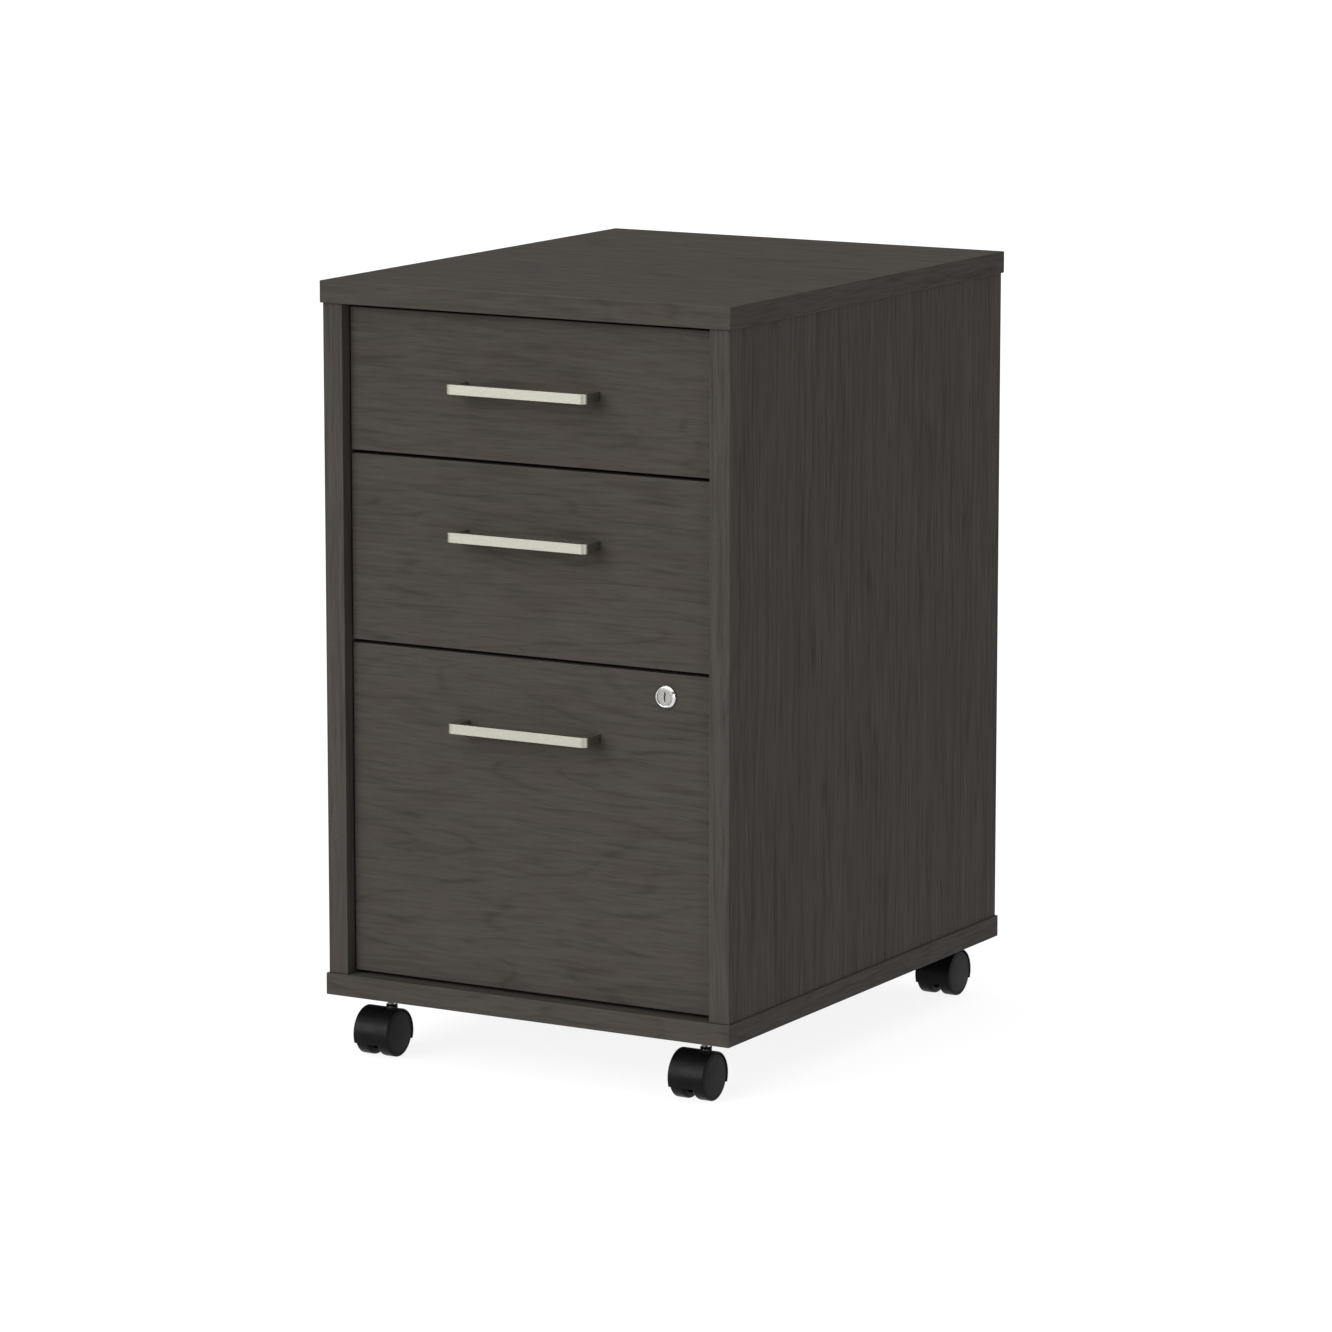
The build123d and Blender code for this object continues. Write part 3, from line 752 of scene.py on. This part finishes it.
@dataclass(frozen=True)
class BrushedMetal:
    """Metal brushed along one axis, with a slightly brighter painted highlight on its rounded edges."""

    name: str
    tint: Triple
    shade: Triple
    brush: Axis = Axis.X
    roughness: float = 0.34
    anisotropy: float = 0.35

    def material(self) -> bpy.types.Material:
        """Builds the node material.

        Returns:
            The finish.
        """
        tree = Tree(self.name)
        scale = tuple(40.0 if unit else 5200.0 for unit in self.brush.value)
        strokes = tree.noise(tree.stretch(scale), 1.0, 3.0)
        cloud = tree.noise(tree.position, 55.0, 3.0)
        tone = tree.blend(tree.span(strokes, 0.3, 0.75, 0.0, 0.7), self.tint, self.shade)
        tone = tree.blend(tree.span(cloud, 0.45, 0.8, 0.0, 0.3), tone, self.shade)
        # Painted highlight: the rounded edges are blended towards the brighter tint.
        tone_with_painted_highlight = tree.blend(tree.maths("MULTIPLY", tree.edge_zone(), 0.35), tone, self.tint)
        rough = tree.span(strokes, 0.3, 0.7, self.roughness - 0.05, self.roughness + 0.07)
        tree.relief(strokes, 0.004 * MM, 0.5)
        return tree.finish(tone_with_painted_highlight, rough, Metallic=1.0, Anisotropic=self.anisotropy)


@dataclass(frozen=True)
class ZincPlate:
    """Plated steel sheet: faint crystals, rolling lines and dull patches."""

    name: str
    bright: Triple = (0.60, 0.61, 0.62)
    dull: Triple = (0.42, 0.43, 0.45)
    roughness: float = 0.36

    def material(self) -> bpy.types.Material:
        """Builds the node material.

        Returns:
            The finish.
        """
        tree = Tree(self.name)
        crystal = tree.spangle(tree.position, 260.0)
        lines = tree.noise(tree.stretch((3000.0, 30.0, 3000.0)), 1.0, 2.0)
        cloud = tree.noise(tree.position, 35.0, 4.0)
        tone = tree.blend(tree.maths("MULTIPLY", crystal, 0.35), self.bright, self.dull)
        tone = tree.blend(tree.span(cloud, 0.45, 0.75, 0.0, 0.6), tone, self.dull)
        rough = tree.span(lines, 0.3, 0.7, self.roughness - 0.06, self.roughness + 0.1)
        tree.relief(lines, 0.01 * MM, 0.5)
        return tree.finish(tone, rough, Metallic=1.0)


@dataclass(frozen=True)
class MouldedPlastic:
    """Moulded black nylon with a fine spark texture, a cloudy tone and scuff streaks."""

    name: str
    ground: Triple
    rubbed: Triple
    roughness: float = 0.36
    texture: float = 0.02 * MM

    def material(self) -> bpy.types.Material:
        """Builds the node material.

        Returns:
            The finish.
        """
        tree = Tree(self.name)
        spark = tree.noise(tree.position, 2600.0, 2.0)
        cloud = tree.noise(tree.position, 90.0, 3.0)
        scuff = tree.noise(tree.stretch((900.0, 160.0, 160.0)), 1.0, 4.0)
        tone = tree.blend(tree.span(cloud, 0.4, 0.75, 0.0, 0.45), self.ground, self.rubbed)
        tone = tree.blend(tree.span(scuff, 0.62, 0.78, 0.0, 0.5), tone, self.rubbed)
        rough = tree.span(cloud, 0.3, 0.7, self.roughness - 0.05, self.roughness + 0.09)
        tree.relief(spark, self.texture, 0.5)
        return tree.finish(tone, rough, Specular_IOR_Level=0.07)


class Palette:
    """Every finish of the pedestal, by the record's material slot."""

    def __init__(self) -> None:
        """Builds the materials once."""
        finishes = {
            "woodgrain_laminate_flat": WoodgrainLaminate(
                "laminate_flat",
                grain=Axis.X,
                edge_grain=Axis.Y,
                bands=(1.8, 11.0),
                streaks=(14.0, 170.0),
                fibres=(30.0, 520.0),
            ),
            "woodgrain_laminate_upright": WoodgrainLaminate(
                "laminate_upright",
                grain=Axis.Z,
                edge_grain=Axis.Z,
                bands=(0.9, 13.0),
                streaks=(6.0, 170.0),
                fibres=(15.0, 520.0),
                dark=(0.0190, 0.0162, 0.0132),
                light=(0.0650, 0.0577, 0.0494),
            ),
            "back_board": FacedBoard("back_face", (0.060, 0.056, 0.052), (0.085, 0.080, 0.074)),
            "box_board": FacedBoard("box_face", (0.100, 0.097, 0.094), (0.150, 0.146, 0.140)),
            "bottom_board": FacedBoard(
                "base_face", (0.085, 0.082, 0.079), (0.125, 0.12, 0.116), 0.6
            ),
            "beech_dowel": Beech("beech"),
            "zinc_plated_steel": ZincPlate("zinc_plate"),
            "die_cast_zinc": ZincPlate("die_cast", (0.50, 0.50, 0.50), (0.34, 0.34, 0.35), 0.5),
            "bright_steel": BrushedMetal(
                "bright_steel", (0.72, 0.71, 0.68), (0.52, 0.51, 0.49), Axis.Z, 0.24, 0.1
            ),
            "brushed_nickel": BrushedMetal(
                "brushed_nickel", (0.41, 0.40, 0.342), (0.37, 0.36, 0.308), Axis.X, 0.32, 0.0
            ),
            "polished_nickel": BrushedMetal(
                "polished_nickel", (0.66, 0.65, 0.63), (0.58, 0.57, 0.55), Axis.X, 0.14, 0.0
            ),
            "satin_zinc": BrushedMetal(
                "satin_zinc", (0.31, 0.305, 0.295), (0.25, 0.245, 0.235), Axis.Z, 0.40, 0.1
            ),
            "black_nylon": MouldedPlastic(
                "black_nylon", (0.0035, 0.0035, 0.0035), (0.006, 0.006, 0.006)
            ),
            "black_wheel": MouldedPlastic(
                "black_wheel", (0.0022, 0.0022, 0.0022), (0.0038, 0.0038, 0.0038), 0.34, 0.010 * MM
            ),
        }
        self._materials = {slot: finish.material() for slot, finish in finishes.items()}

    def dress(self, piece: bpy.types.Object, slot: str) -> None:
        """Gives a piece one finish all over.

        Args:
            piece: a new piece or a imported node.
            slot: the record's material slot.
        """
        piece.data.materials.clear()
        piece.data.materials.append(self._materials[slot])


# ------------------------------------------------------------------ sub-assemblies


def slot_of(node: str) -> str:
    """The record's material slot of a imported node."""
    slots = {row["node"]: row["material_slot"] for row in frame["record"]["subparts"]}
    return slots[node]


def body_of(node: str) -> str:
    """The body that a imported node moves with."""
    bodies = frame["record"]["behaviour"]["bodies"]
    return next(body for body, nodes in bodies.items() if node in nodes)


def fit(piece: bpy.types.Object, node: str, palette: Palette) -> None:
    """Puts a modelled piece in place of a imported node, with its finish and on its body.

    Args:
        piece: the modelled piece, in place.
        node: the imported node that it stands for.
        palette: the finishes.
    """
    palette.dress(piece, slot_of(node))
    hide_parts(node)
    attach(piece, body_of(node))


@dataclass
class CadNodes:
    """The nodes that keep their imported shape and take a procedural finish."""

    palette: Palette

    def dress(self) -> None:
        """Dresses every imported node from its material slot."""
        for node, piece in frame["nodes"].items():
            self.palette.dress(piece, slot_of(node))
        log.info("dressed %d packed nodes", len(frame["nodes"]))


@dataclass
class EasedBoard:
    """A packed board whose outer edges get the small rounding of their edge band."""

    node: str
    palette: Palette
    easing: float = 0.7 * MM
    steps: int = 3
    reach: float = 0.02 * MM
    merge: float = 0.001 * MM
    flat_within: float = 0.5
    sharp_over: float = 35.0

    def build(self) -> bpy.types.Object:
        """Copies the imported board, joins its faces and rounds the edges of its outer box.

        Returns:
            The eased board, with its holes and grooves as packed.
        """
        low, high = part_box(self.node)
        Bench.take(frame["nodes"][self.node])
        bpy.ops.object.duplicate()
        board = bpy.context.object
        board.name = self.node + "_eased"
        board.data.name = board.name
        bpy.ops.object.mode_set(mode="EDIT")
        bpy.ops.mesh.select_all(action="SELECT")
        bpy.ops.mesh.remove_doubles(threshold=self.merge)
        bpy.ops.mesh.dissolve_limited(angle_limit=math.radians(self.flat_within))
        Bench.leave()

        def sides(point: Vector) -> Set[Tuple[int, str]]:
            """The outer planes of the box that a point lies on.

            Args:
                point: the point.

            Returns:
                Each plane, as its axis and end.
            """
            near = set()
            for axis in range(3):
                for end, corner in (("low", low), ("high", high)):
                    if abs(point[axis] - corner[axis]) < self.reach:
                        near.add((axis, end))
            return near

        Bench.pick_edges(board, lambda a, b: len(sides(a) & sides(b)) == 2)
        bpy.ops.mesh.bevel(
            offset=self.easing, segments=self.steps, affect="EDGES", clamp_overlap=False
        )
        Bench.leave()
        Bench.smooth(board, self.sharp_over)
        Bench.level_normals(board)
        return board

    def dress(self) -> None:
        """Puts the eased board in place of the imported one."""
        fit(self.build(), self.node, self.palette)


@dataclass
class BowHandles:
    """Flat bar handles bent back at both ends, one on each drawer."""

    palette: Palette
    drawers: Tuple[str, ...] = ("top_drawer", "middle_drawer", "file_drawer")
    leg: float = 9.0 * MM
    bar: float = 6.0 * MM
    corner: float = 5.6 * MM
    inner_corner: float = 2.0 * MM
    soft_edge: float = 0.25 * MM

    def build(self) -> bpy.types.Object:
        """Models the first bow from a bar: its ends are drawn back to the drawer and rounded.

        Returns:
            The first drawer's finished handle.
        """
        low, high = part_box(self.drawers[0] + "_handle")
        back_y = low.y + self.bar
        handle = Bench.block(self.drawers[0] + "_bow", low, (high.x, back_y, high.z))
        inner_x = high.x - self.leg
        for x in (-inner_x, inner_x):
            Bench.bisect(handle, (x, 0.0, 0.0), (1.0, 0.0, 0.0))
        Bench.push(
            handle,
            lambda centre, normal: normal.y > 0.9 and abs(centre.x) > inner_x,
            (0.0, high.y - back_y, 0.0),
        )
        tiny = 0.01 * MM

        def upright(a: Vector, b: Vector, x: float, y: float) -> bool:
            """Whether an edge stands upright at the given X (either side) and Y."""
            same = abs(a.x - b.x) < tiny and abs(a.y - b.y) < tiny
            return same and abs(abs(a.x) - x) < tiny and abs(a.y - y) < tiny

        Bench.round_edges(handle, lambda a, b: upright(a, b, high.x, low.y), self.corner, 10)
        Bench.round_edges(handle, lambda a, b: upright(a, b, inner_x, back_y), self.inner_corner, 6)
        Bench.soften(handle, self.soft_edge, 1)
        return handle

    def dress(self) -> None:
        """Copies the first handle for the other drawers and puts each on its own."""
        first = self.build()
        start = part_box(self.drawers[0] + "_handle")[0]
        bows = {self.drawers[0]: first}
        for drawer in self.drawers[1:]:
            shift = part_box(drawer + "_handle")[0] - start
            bows[drawer] = Bench.copy(first, drawer + "_bow", shift)
        for drawer, bow in bows.items():
            fit(bow, drawer + "_handle", self.palette)


@dataclass
class CamLock:
    """The lock's barrel with its bevelled head, and the plug with its keyway."""

    palette: Palette
    head: float = 9.75 * MM
    head_slope: float = 1.25 * MM
    head_side: float = 1.45 * MM
    rim: float = 8.5 * MM
    rim_edge: float = 0.35 * MM
    mouth: float = 7.35 * MM
    mouth_edge: float = 0.3 * MM
    seat: float = 1.75 * MM
    shaft: float = 8.5 * MM
    thread: float = 0.45 * MM
    pitch: float = 1.25 * MM
    bore: float = 6.05 * MM
    plug_recess: float = 0.5 * MM
    plug_face: float = 7.2 * MM
    plug_edge: float = 1.1 * MM
    plug_shank: float = 5.98 * MM
    ring: Pair = (5.6 * MM, 6.1 * MM)
    ring_flank: float = 0.15 * MM
    ring_depth: float = 0.12 * MM
    tail: float = 7.0 * MM
    key_width: float = 1.0 * MM
    key_height: float = 8.4 * MM
    key_depth: float = 2.2 * MM
    ward: float = 0.45 * MM
    facets: int = 96

    def _place(self) -> Tuple[Vector, float, float, float]:
        """Where the lock stands.

        Returns:
            The centre of the head's face, then the Y of the drawer's face, of the barrel's end and
            of the plug's end.
        """
        low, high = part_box("lock_barrel")
        plug_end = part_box("lock_plug")[1].y
        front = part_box("file_drawer_front")
        centre = Vector(((low.x + high.x) / 2, low.y, (low.z + high.z) / 2))
        return centre, front[0].y, high.y, plug_end

    def build_barrel(self) -> bpy.types.Object:
        """Turns the barrel: bevelled head, mouth for the plug's face, and a threaded shaft.

        Returns:
            The barrel.
        """
        centre, face_y, end_y, _ = self._place()
        head_height, length = face_y - centre.y, end_y - centre.y
        mouth_edge, rim_edge = self.mouth_edge, self.rim_edge
        rim_start = self.rim - 0.25 * MM
        chamfer = 0.4 * MM
        profile: Profile = [(self.bore, length), (self.bore, self.seat), (self.mouth, self.seat)]
        profile.append((self.mouth, mouth_edge + 0.05 * MM))
        profile += arc((self.mouth + mouth_edge, mouth_edge), mouth_edge, 180.0, 270.0, 4)
        profile += arc((rim_start, rim_edge), rim_edge, -90.0, -45.0, 3)
        profile += [(self.head - 0.15 * MM, self.head_slope), (self.head, self.head_side)]
        profile += [(self.head, head_height), (self.shaft, head_height)]
        for turn in range(int((length - head_height) / self.pitch)):
            start = head_height + turn * self.pitch
            for share, depth in ((0.35, 0.0), (0.60, self.thread), (0.85, 0.0)):
                profile.append((self.shaft - depth, start + share * self.pitch))
        profile += [(self.shaft, length - chamfer), (self.shaft - chamfer, length)]
        profile.append((self.bore, length))
        barrel = Bench.lathe("lock_barrel_turned", profile, centre, Axis.Y, self.facets)
        Bench.smooth(barrel)
        return barrel

    def build_plug(self) -> bpy.types.Object:
        """Turns the plug, adds its square tail and cuts the keyway.

        Returns:
            The plug.
        """
        centre, _, end_y, plug_end = self._place()
        face = Vector((centre.x, centre.y + self.plug_recess, centre.z))
        shank = end_y - face.y
        ring_in, ring_out = self.ring
        side = self.plug_face - 0.05 * MM
        profile: Profile = [(0.0, 0.0), (ring_in, 0.0)]
        profile += [(ring_in + self.ring_flank, self.ring_depth)]
        profile += [(ring_out - self.ring_flank, self.ring_depth), (ring_out, 0.0)]
        profile += [(self.plug_face - 0.2 * MM, 0.02 * MM), (side, 0.2 * MM)]
        profile.append((side, self.plug_edge))
        profile += [(self.plug_shank, self.plug_edge), (self.plug_shank, shank), (0.0, shank)]
        plug = Bench.lathe("lock_plug_turned", profile, face, Axis.Y, self.facets)
        half = self.tail / 2
        overlap = 0.5 * MM
        tail = Bench.block(
            "lock_tail",
            (centre.x - half, end_y - overlap, centre.z - half),
            (centre.x + half, plug_end, centre.z + half),
        )
        Bench.merge_shape(plug, tail, "UNION")
        Bench.merge_shape(plug, self._key_shape(face), "DIFFERENCE")
        Bench.soften(plug, 0.06 * MM)
        return plug

    def _key_shape(self, face: Vector) -> bpy.types.Object:
        """Models the keyway's cutter: an upright slot with two wards that step in from its sides.

        Args:
            face: the centre of the plug's face.

        Returns:
            The cutter.
        """
        half_w, half_h = self.key_width / 2, self.key_height / 2
        cutter = Bench.block(
            "key_shape",
            (face.x - half_w, face.y - 1.0 * MM, face.z - half_h),
            (face.x + half_w, face.y + self.key_depth, face.z + half_h),
        )
        bottom, middle, top = -0.25, 0.15, 0.45
        for height in (bottom, middle, top):
            Bench.bisect(cutter, (0.0, 0.0, face.z + height * self.key_height), Axis.Z.value)
        for way, start, end in ((1.0, middle, top), (-1.0, bottom, middle)):
            Bench.push(
                cutter,
                lambda c, n: n.x * way > 0.9 and start < (c.z - face.z) / self.key_height < end,
                (way * self.ward, 0.0, 0.0),
            )
        return cutter

    def dress(self) -> None:
        """Puts the barrel on the drawer and the plug on the turning lock."""
        fit(self.build_barrel(), "lock_barrel", self.palette)
        fit(self.build_plug(), "lock_plug", self.palette)


@dataclass
class CasterPair:
    """The two hooded casters of one end, each a moulded hood with a collar and two wheels.

    The stems stand inboard of the axles, so the back hoods face the other way from the front ones
    and each end has a model of its own.
    """

    end: str
    palette: Palette
    wheel: float = 20.0 * MM
    tread_edge: float = 1.0 * MM
    inner_edge: float = 2.2 * MM
    dome: float = 0.5 * MM
    dome_rings: int = 8
    bore: float = 2.54 * MM
    bore_depth: float = 9.0 * MM
    hub: float = 5.5 * MM
    dish: float = 15.0 * MM
    dish_depth: float = 4.0 * MM
    rim: float = 17.4 * MM
    wall: float = 1.5 * MM
    clearance: float = 0.5 * MM
    web: float = 8.0 * MM
    hood_edge: float = 0.8 * MM
    collar: float = 5.0 * MM
    collar_depth: float = 12.0 * MM
    pin: float = 3.03 * MM
    pin_depth: float = 15.0 * MM
    facets: int = 96
    collar_facets: int = 48

    def _name(self, hand: Side) -> str:
        """The name of the left or right caster."""
        return f"{self.end}_{hand.name.lower()}_caster"

    def _axle(self) -> Vector:
        """The middle of the left caster's axle."""
        low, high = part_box(self._name(Side.LEFT) + "_axle")
        return (low + high) / 2

    def _stem(self) -> Vector:
        """The top of the left hood's collar, on the swivel axis.

        Returns:
            The point.
        """
        name = self._name(Side.LEFT)
        swivel = next(row for row in frame["joints"] if row["name"] == name + "_swivel")
        x, y, _ = swivel["pos_m"]
        return Vector((x, y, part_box(name + "_hood")[1].z))

    def build_wheel(self, side: Side) -> bpy.types.Object:
        """Turns one of the left caster's wheels: blind bore, dished inside, domed outer disc.

        Args:
            side: the side of the hood's web that the wheel is on.

        Returns:
            The wheel.
        """
        node = f"{self._name(Side.LEFT)}_{side.name.lower()}_wheel"
        low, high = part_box(node)
        inner_x = low.x if side is Side.RIGHT else high.x
        axle = self._axle()
        centre = (inner_x, axle.y, axle.z)
        bore, hub, dish, rim = self.bore, self.hub, self.dish, self.rim
        deep, ease, fillet = self.dish_depth, 0.3 * MM, 0.5 * MM
        edge, inner = self.tread_edge, self.inner_edge
        shoulder = high.x - low.x - self.dome
        profile: Profile = [(0.0, self.bore_depth), (bore, self.bore_depth)]
        profile += [(bore, 0.2 * MM), (bore + 0.2 * MM, 0.0)]
        profile += [(hub - ease, 0.0), (hub, ease), (hub, deep - ease), (hub + ease, deep)]
        profile += [(dish - fillet, deep), (dish, deep - fillet)]
        profile += [(dish, 0.4 * MM), (dish + 0.4 * MM, 0.0)]
        profile += arc((self.wheel - inner, inner), inner, -90.0, 0.0, 6)
        profile += arc((self.wheel - edge, shoulder - edge), edge, 0.0, 84.0, 8)
        profile += [(rim + 0.35 * MM, shoulder + 0.02 * MM), (rim + 0.1 * MM, shoulder - 0.25 * MM)]
        profile += [(rim - 0.1 * MM, shoulder - 0.25 * MM), (rim - ease, shoulder + 0.05 * MM)]
        for ring in range(1, self.dome_rings + 1):
            share = 1.0 - ring / self.dome_rings
            rise = (self.dome - 0.05 * MM) * (1.0 - share**2)
            profile.append(((rim - ease) * share, shoulder + 0.05 * MM + rise))
        wheel = Bench.lathe(node + "_turned", profile, centre, Axis.X, self.facets, side.value)
        Bench.smooth(wheel)
        return wheel

    def build_hood(self) -> bpy.types.Object:
        """Turns the left hood's drum with its collar, hollows both sides and cuts the skirt.

        Returns:
            The hood.
        """
        node = self._name(Side.LEFT) + "_hood"
        low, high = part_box(node)
        axle, stem = self._axle(), self._stem()
        half = (high.x - low.x) / 2
        inner = self.wheel + self.clearance
        outer, edge = inner + self.wall, self.hood_edge
        lip, beyond, top = 0.2 * MM, 1.0 * MM, 0.5 * MM
        drum: Profile = [(0.0, -half)]
        drum += arc((outer - edge, edge - half), edge, -90.0, 0.0, 6)
        drum += arc((outer - edge, half - edge), edge, 0.0, 90.0, 6)
        drum.append((0.0, half))
        collar: Profile = [(0.0, -self.collar_depth), (self.collar, -self.collar_depth)]
        collar += arc((self.collar - top, -top), top, 0.0, 90.0, 4)
        collar.append((0.0, 0.0))
        hollow: Profile = [(0.0, self.web / 2), (inner, self.web / 2), (inner, half - lip)]
        hollow += [(inner + lip, half), (inner + lip, half + beyond), (0.0, half + beyond)]
        bore: Profile = [(0.0, -self.pin_depth), (self.pin, -self.pin_depth), (self.pin, beyond)]
        bore.append((0.0, beyond))
        hood = Bench.lathe(node + "_moulded", drum, axle, Axis.X, self.facets)
        around = Bench.lathe("collar", collar, stem, Axis.Z, self.collar_facets)
        Bench.merge_shape(hood, around, "UNION")
        for side in Side:
            cutter = Bench.lathe("hollow", hollow, axle, Axis.X, self.facets, side.value)
            Bench.merge_shape(hood, cutter, "DIFFERENCE")
        drill = Bench.lathe("bore", bore, stem, Axis.Z, self.collar_facets)
        Bench.merge_shape(hood, drill, "DIFFERENCE")
        Bench.bisect(hood, (0.0, 0.0, low.z), (0.0, 0.0, -1.0), drop=True)
        Bench.soften(hood, 0.18 * MM, angle=50.0)
        return hood

    def dress(self) -> None:
        """Models the left caster, copies its pieces for the right one and fits them all."""
        left, right = self._name(Side.LEFT), self._name(Side.RIGHT)
        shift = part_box(right + "_hood")[0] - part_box(left + "_hood")[0]
        pieces = {"_hood": self.build_hood()}
        for side in Side:
            pieces[f"_{side.name.lower()}_wheel"] = self.build_wheel(side)
        twins = {
            part: Bench.copy(piece, piece.name.replace(left, right), shift)
            for part, piece in pieces.items()
        }
        for name, group in ((left, pieces), (right, twins)):
            for part, piece in group.items():
                fit(piece, name + part, self.palette)


# ------------------------------------------------------------------ studio


@dataclass
class Studio:
    """Pale floor, soft lights and the camera."""

    azimuth: float = 29.91
    elevation: float = 10.05
    distance: float = 5.2476
    aim: Triple = (0.0, 0.0, 0.3207)
    lens: float = 162.57
    sensor: float = 36.0
    floor_size: float = 60.0
    floor_tone: Triple = (0.15, 0.15, 0.15)
    floor_glow: float = 0.88
    surround: float = 0.25
    lamps: Tuple[Tuple[str, float, float, float, float], ...] = (
        ("front_light", -25.0, 22.0, 40.0, 3.0),
        ("right_light", 58.0, 8.0, 16.0, 0.42),
        ("top_light", 0.0, 88.0, 100.0, 2.6),
    )

    def _look(self, piece: bpy.types.Object, target: Triple) -> None:
        """Turns a lamp or camera to look at a point.

        Args:
            piece: the lamp or camera, in its place.
            target: the point.
        """
        way = Vector(target) - piece.location
        piece.rotation_euler = way.to_track_quat("-Z", "Y").to_euler()

    def lay_floor(self) -> None:
        """Adds the floor plane."""
        Bench.clear()
        bpy.ops.mesh.primitive_plane_add(size=self.floor_size, location=(0.0, 0.0, 0.0))
        floor = bpy.context.object
        floor.name = "studio_floor"
        tree = Tree("pale_floor")
        tree.shader.inputs["Emission Color"].default_value = (1.0, 1.0, 1.0, 1.0)
        glow = {"Specular_IOR_Level": 0.0, "Emission_Strength": self.floor_glow}
        floor.data.materials.append(tree.finish(self.floor_tone, 0.9, **glow))

    def _from(self, azimuth: float, elevation: float) -> Vector:
        """The direction towards a place around the pedestal.

        Args:
            azimuth: degrees from the front, growing to the right.
            elevation: degrees above level.

        Returns:
            The direction, of length 1.
        """
        turn, tilt = math.radians(azimuth), math.radians(elevation)
        return Vector(
            (math.sin(turn) * math.cos(tilt), -math.cos(turn) * math.cos(tilt), math.sin(tilt))
        )

    def hang_lights(self) -> None:
        """Adds the surround and the soft lamps, each (name, azimuth, elevation, spread, power)."""
        for name, azimuth, elevation, spread, power in self.lamps:
            Bench.clear()
            place = self._from(azimuth, elevation) * self.distance
            bpy.ops.object.light_add(type="SUN", location=place)
            lamp = bpy.context.object
            lamp.name = name
            lamp.data.energy = power
            lamp.data.angle = math.radians(spread)
            self._look(lamp, (0.0, 0.0, 0.0))
        world = bpy.data.worlds.new("surround")
        world.use_nodes = True
        ground = world.node_tree.nodes["Background"]
        ground.inputs["Color"].default_value = (1.0, 1.0, 1.0, 1.0)
        ground.inputs["Strength"].default_value = self.surround
        bpy.context.scene.world = world

    def set_camera(self) -> None:
        """Adds the camera at its fitted place and makes it the scene's camera."""
        back = self._from(self.azimuth, self.elevation)
        Bench.clear()
        bpy.ops.object.camera_add(location=Vector(self.aim) + back * self.distance)
        camera = bpy.context.object
        camera.name = "studio_camera"
        camera.data.lens = self.lens
        camera.data.sensor_width = self.sensor
        self._look(camera, self.aim)
        bpy.context.scene.camera = camera
        bpy.context.scene.view_settings.view_transform = "Standard"


def main() -> None:
    """Builds and dresses the sub-assemblies in order."""
    logging.basicConfig(level=logging.INFO, format="%(name)s: %(message)s")
    studio = Studio()
    studio.set_camera()
    studio.lay_floor()
    studio.hang_lights()
    palette = Palette()
    CadNodes(palette).dress()
    for board in ("top", "bottom", "left_side", "right_side", "back"):
        EasedBoard(board + "_panel", palette).dress()
        log.info("%s panel", board)
    handles = BowHandles(palette)
    for drawer in handles.drawers:
        EasedBoard(drawer + "_front", palette).dress()
        log.info("front of %s", drawer)
    handles.dress()
    log.info("handles")
    CamLock(palette).dress()
    log.info("cam lock")
    for end in ("front", "back"):
        CasterPair(end, palette).dress()
        log.info("%s casters", end)


if __name__ == "__main__":
    main()
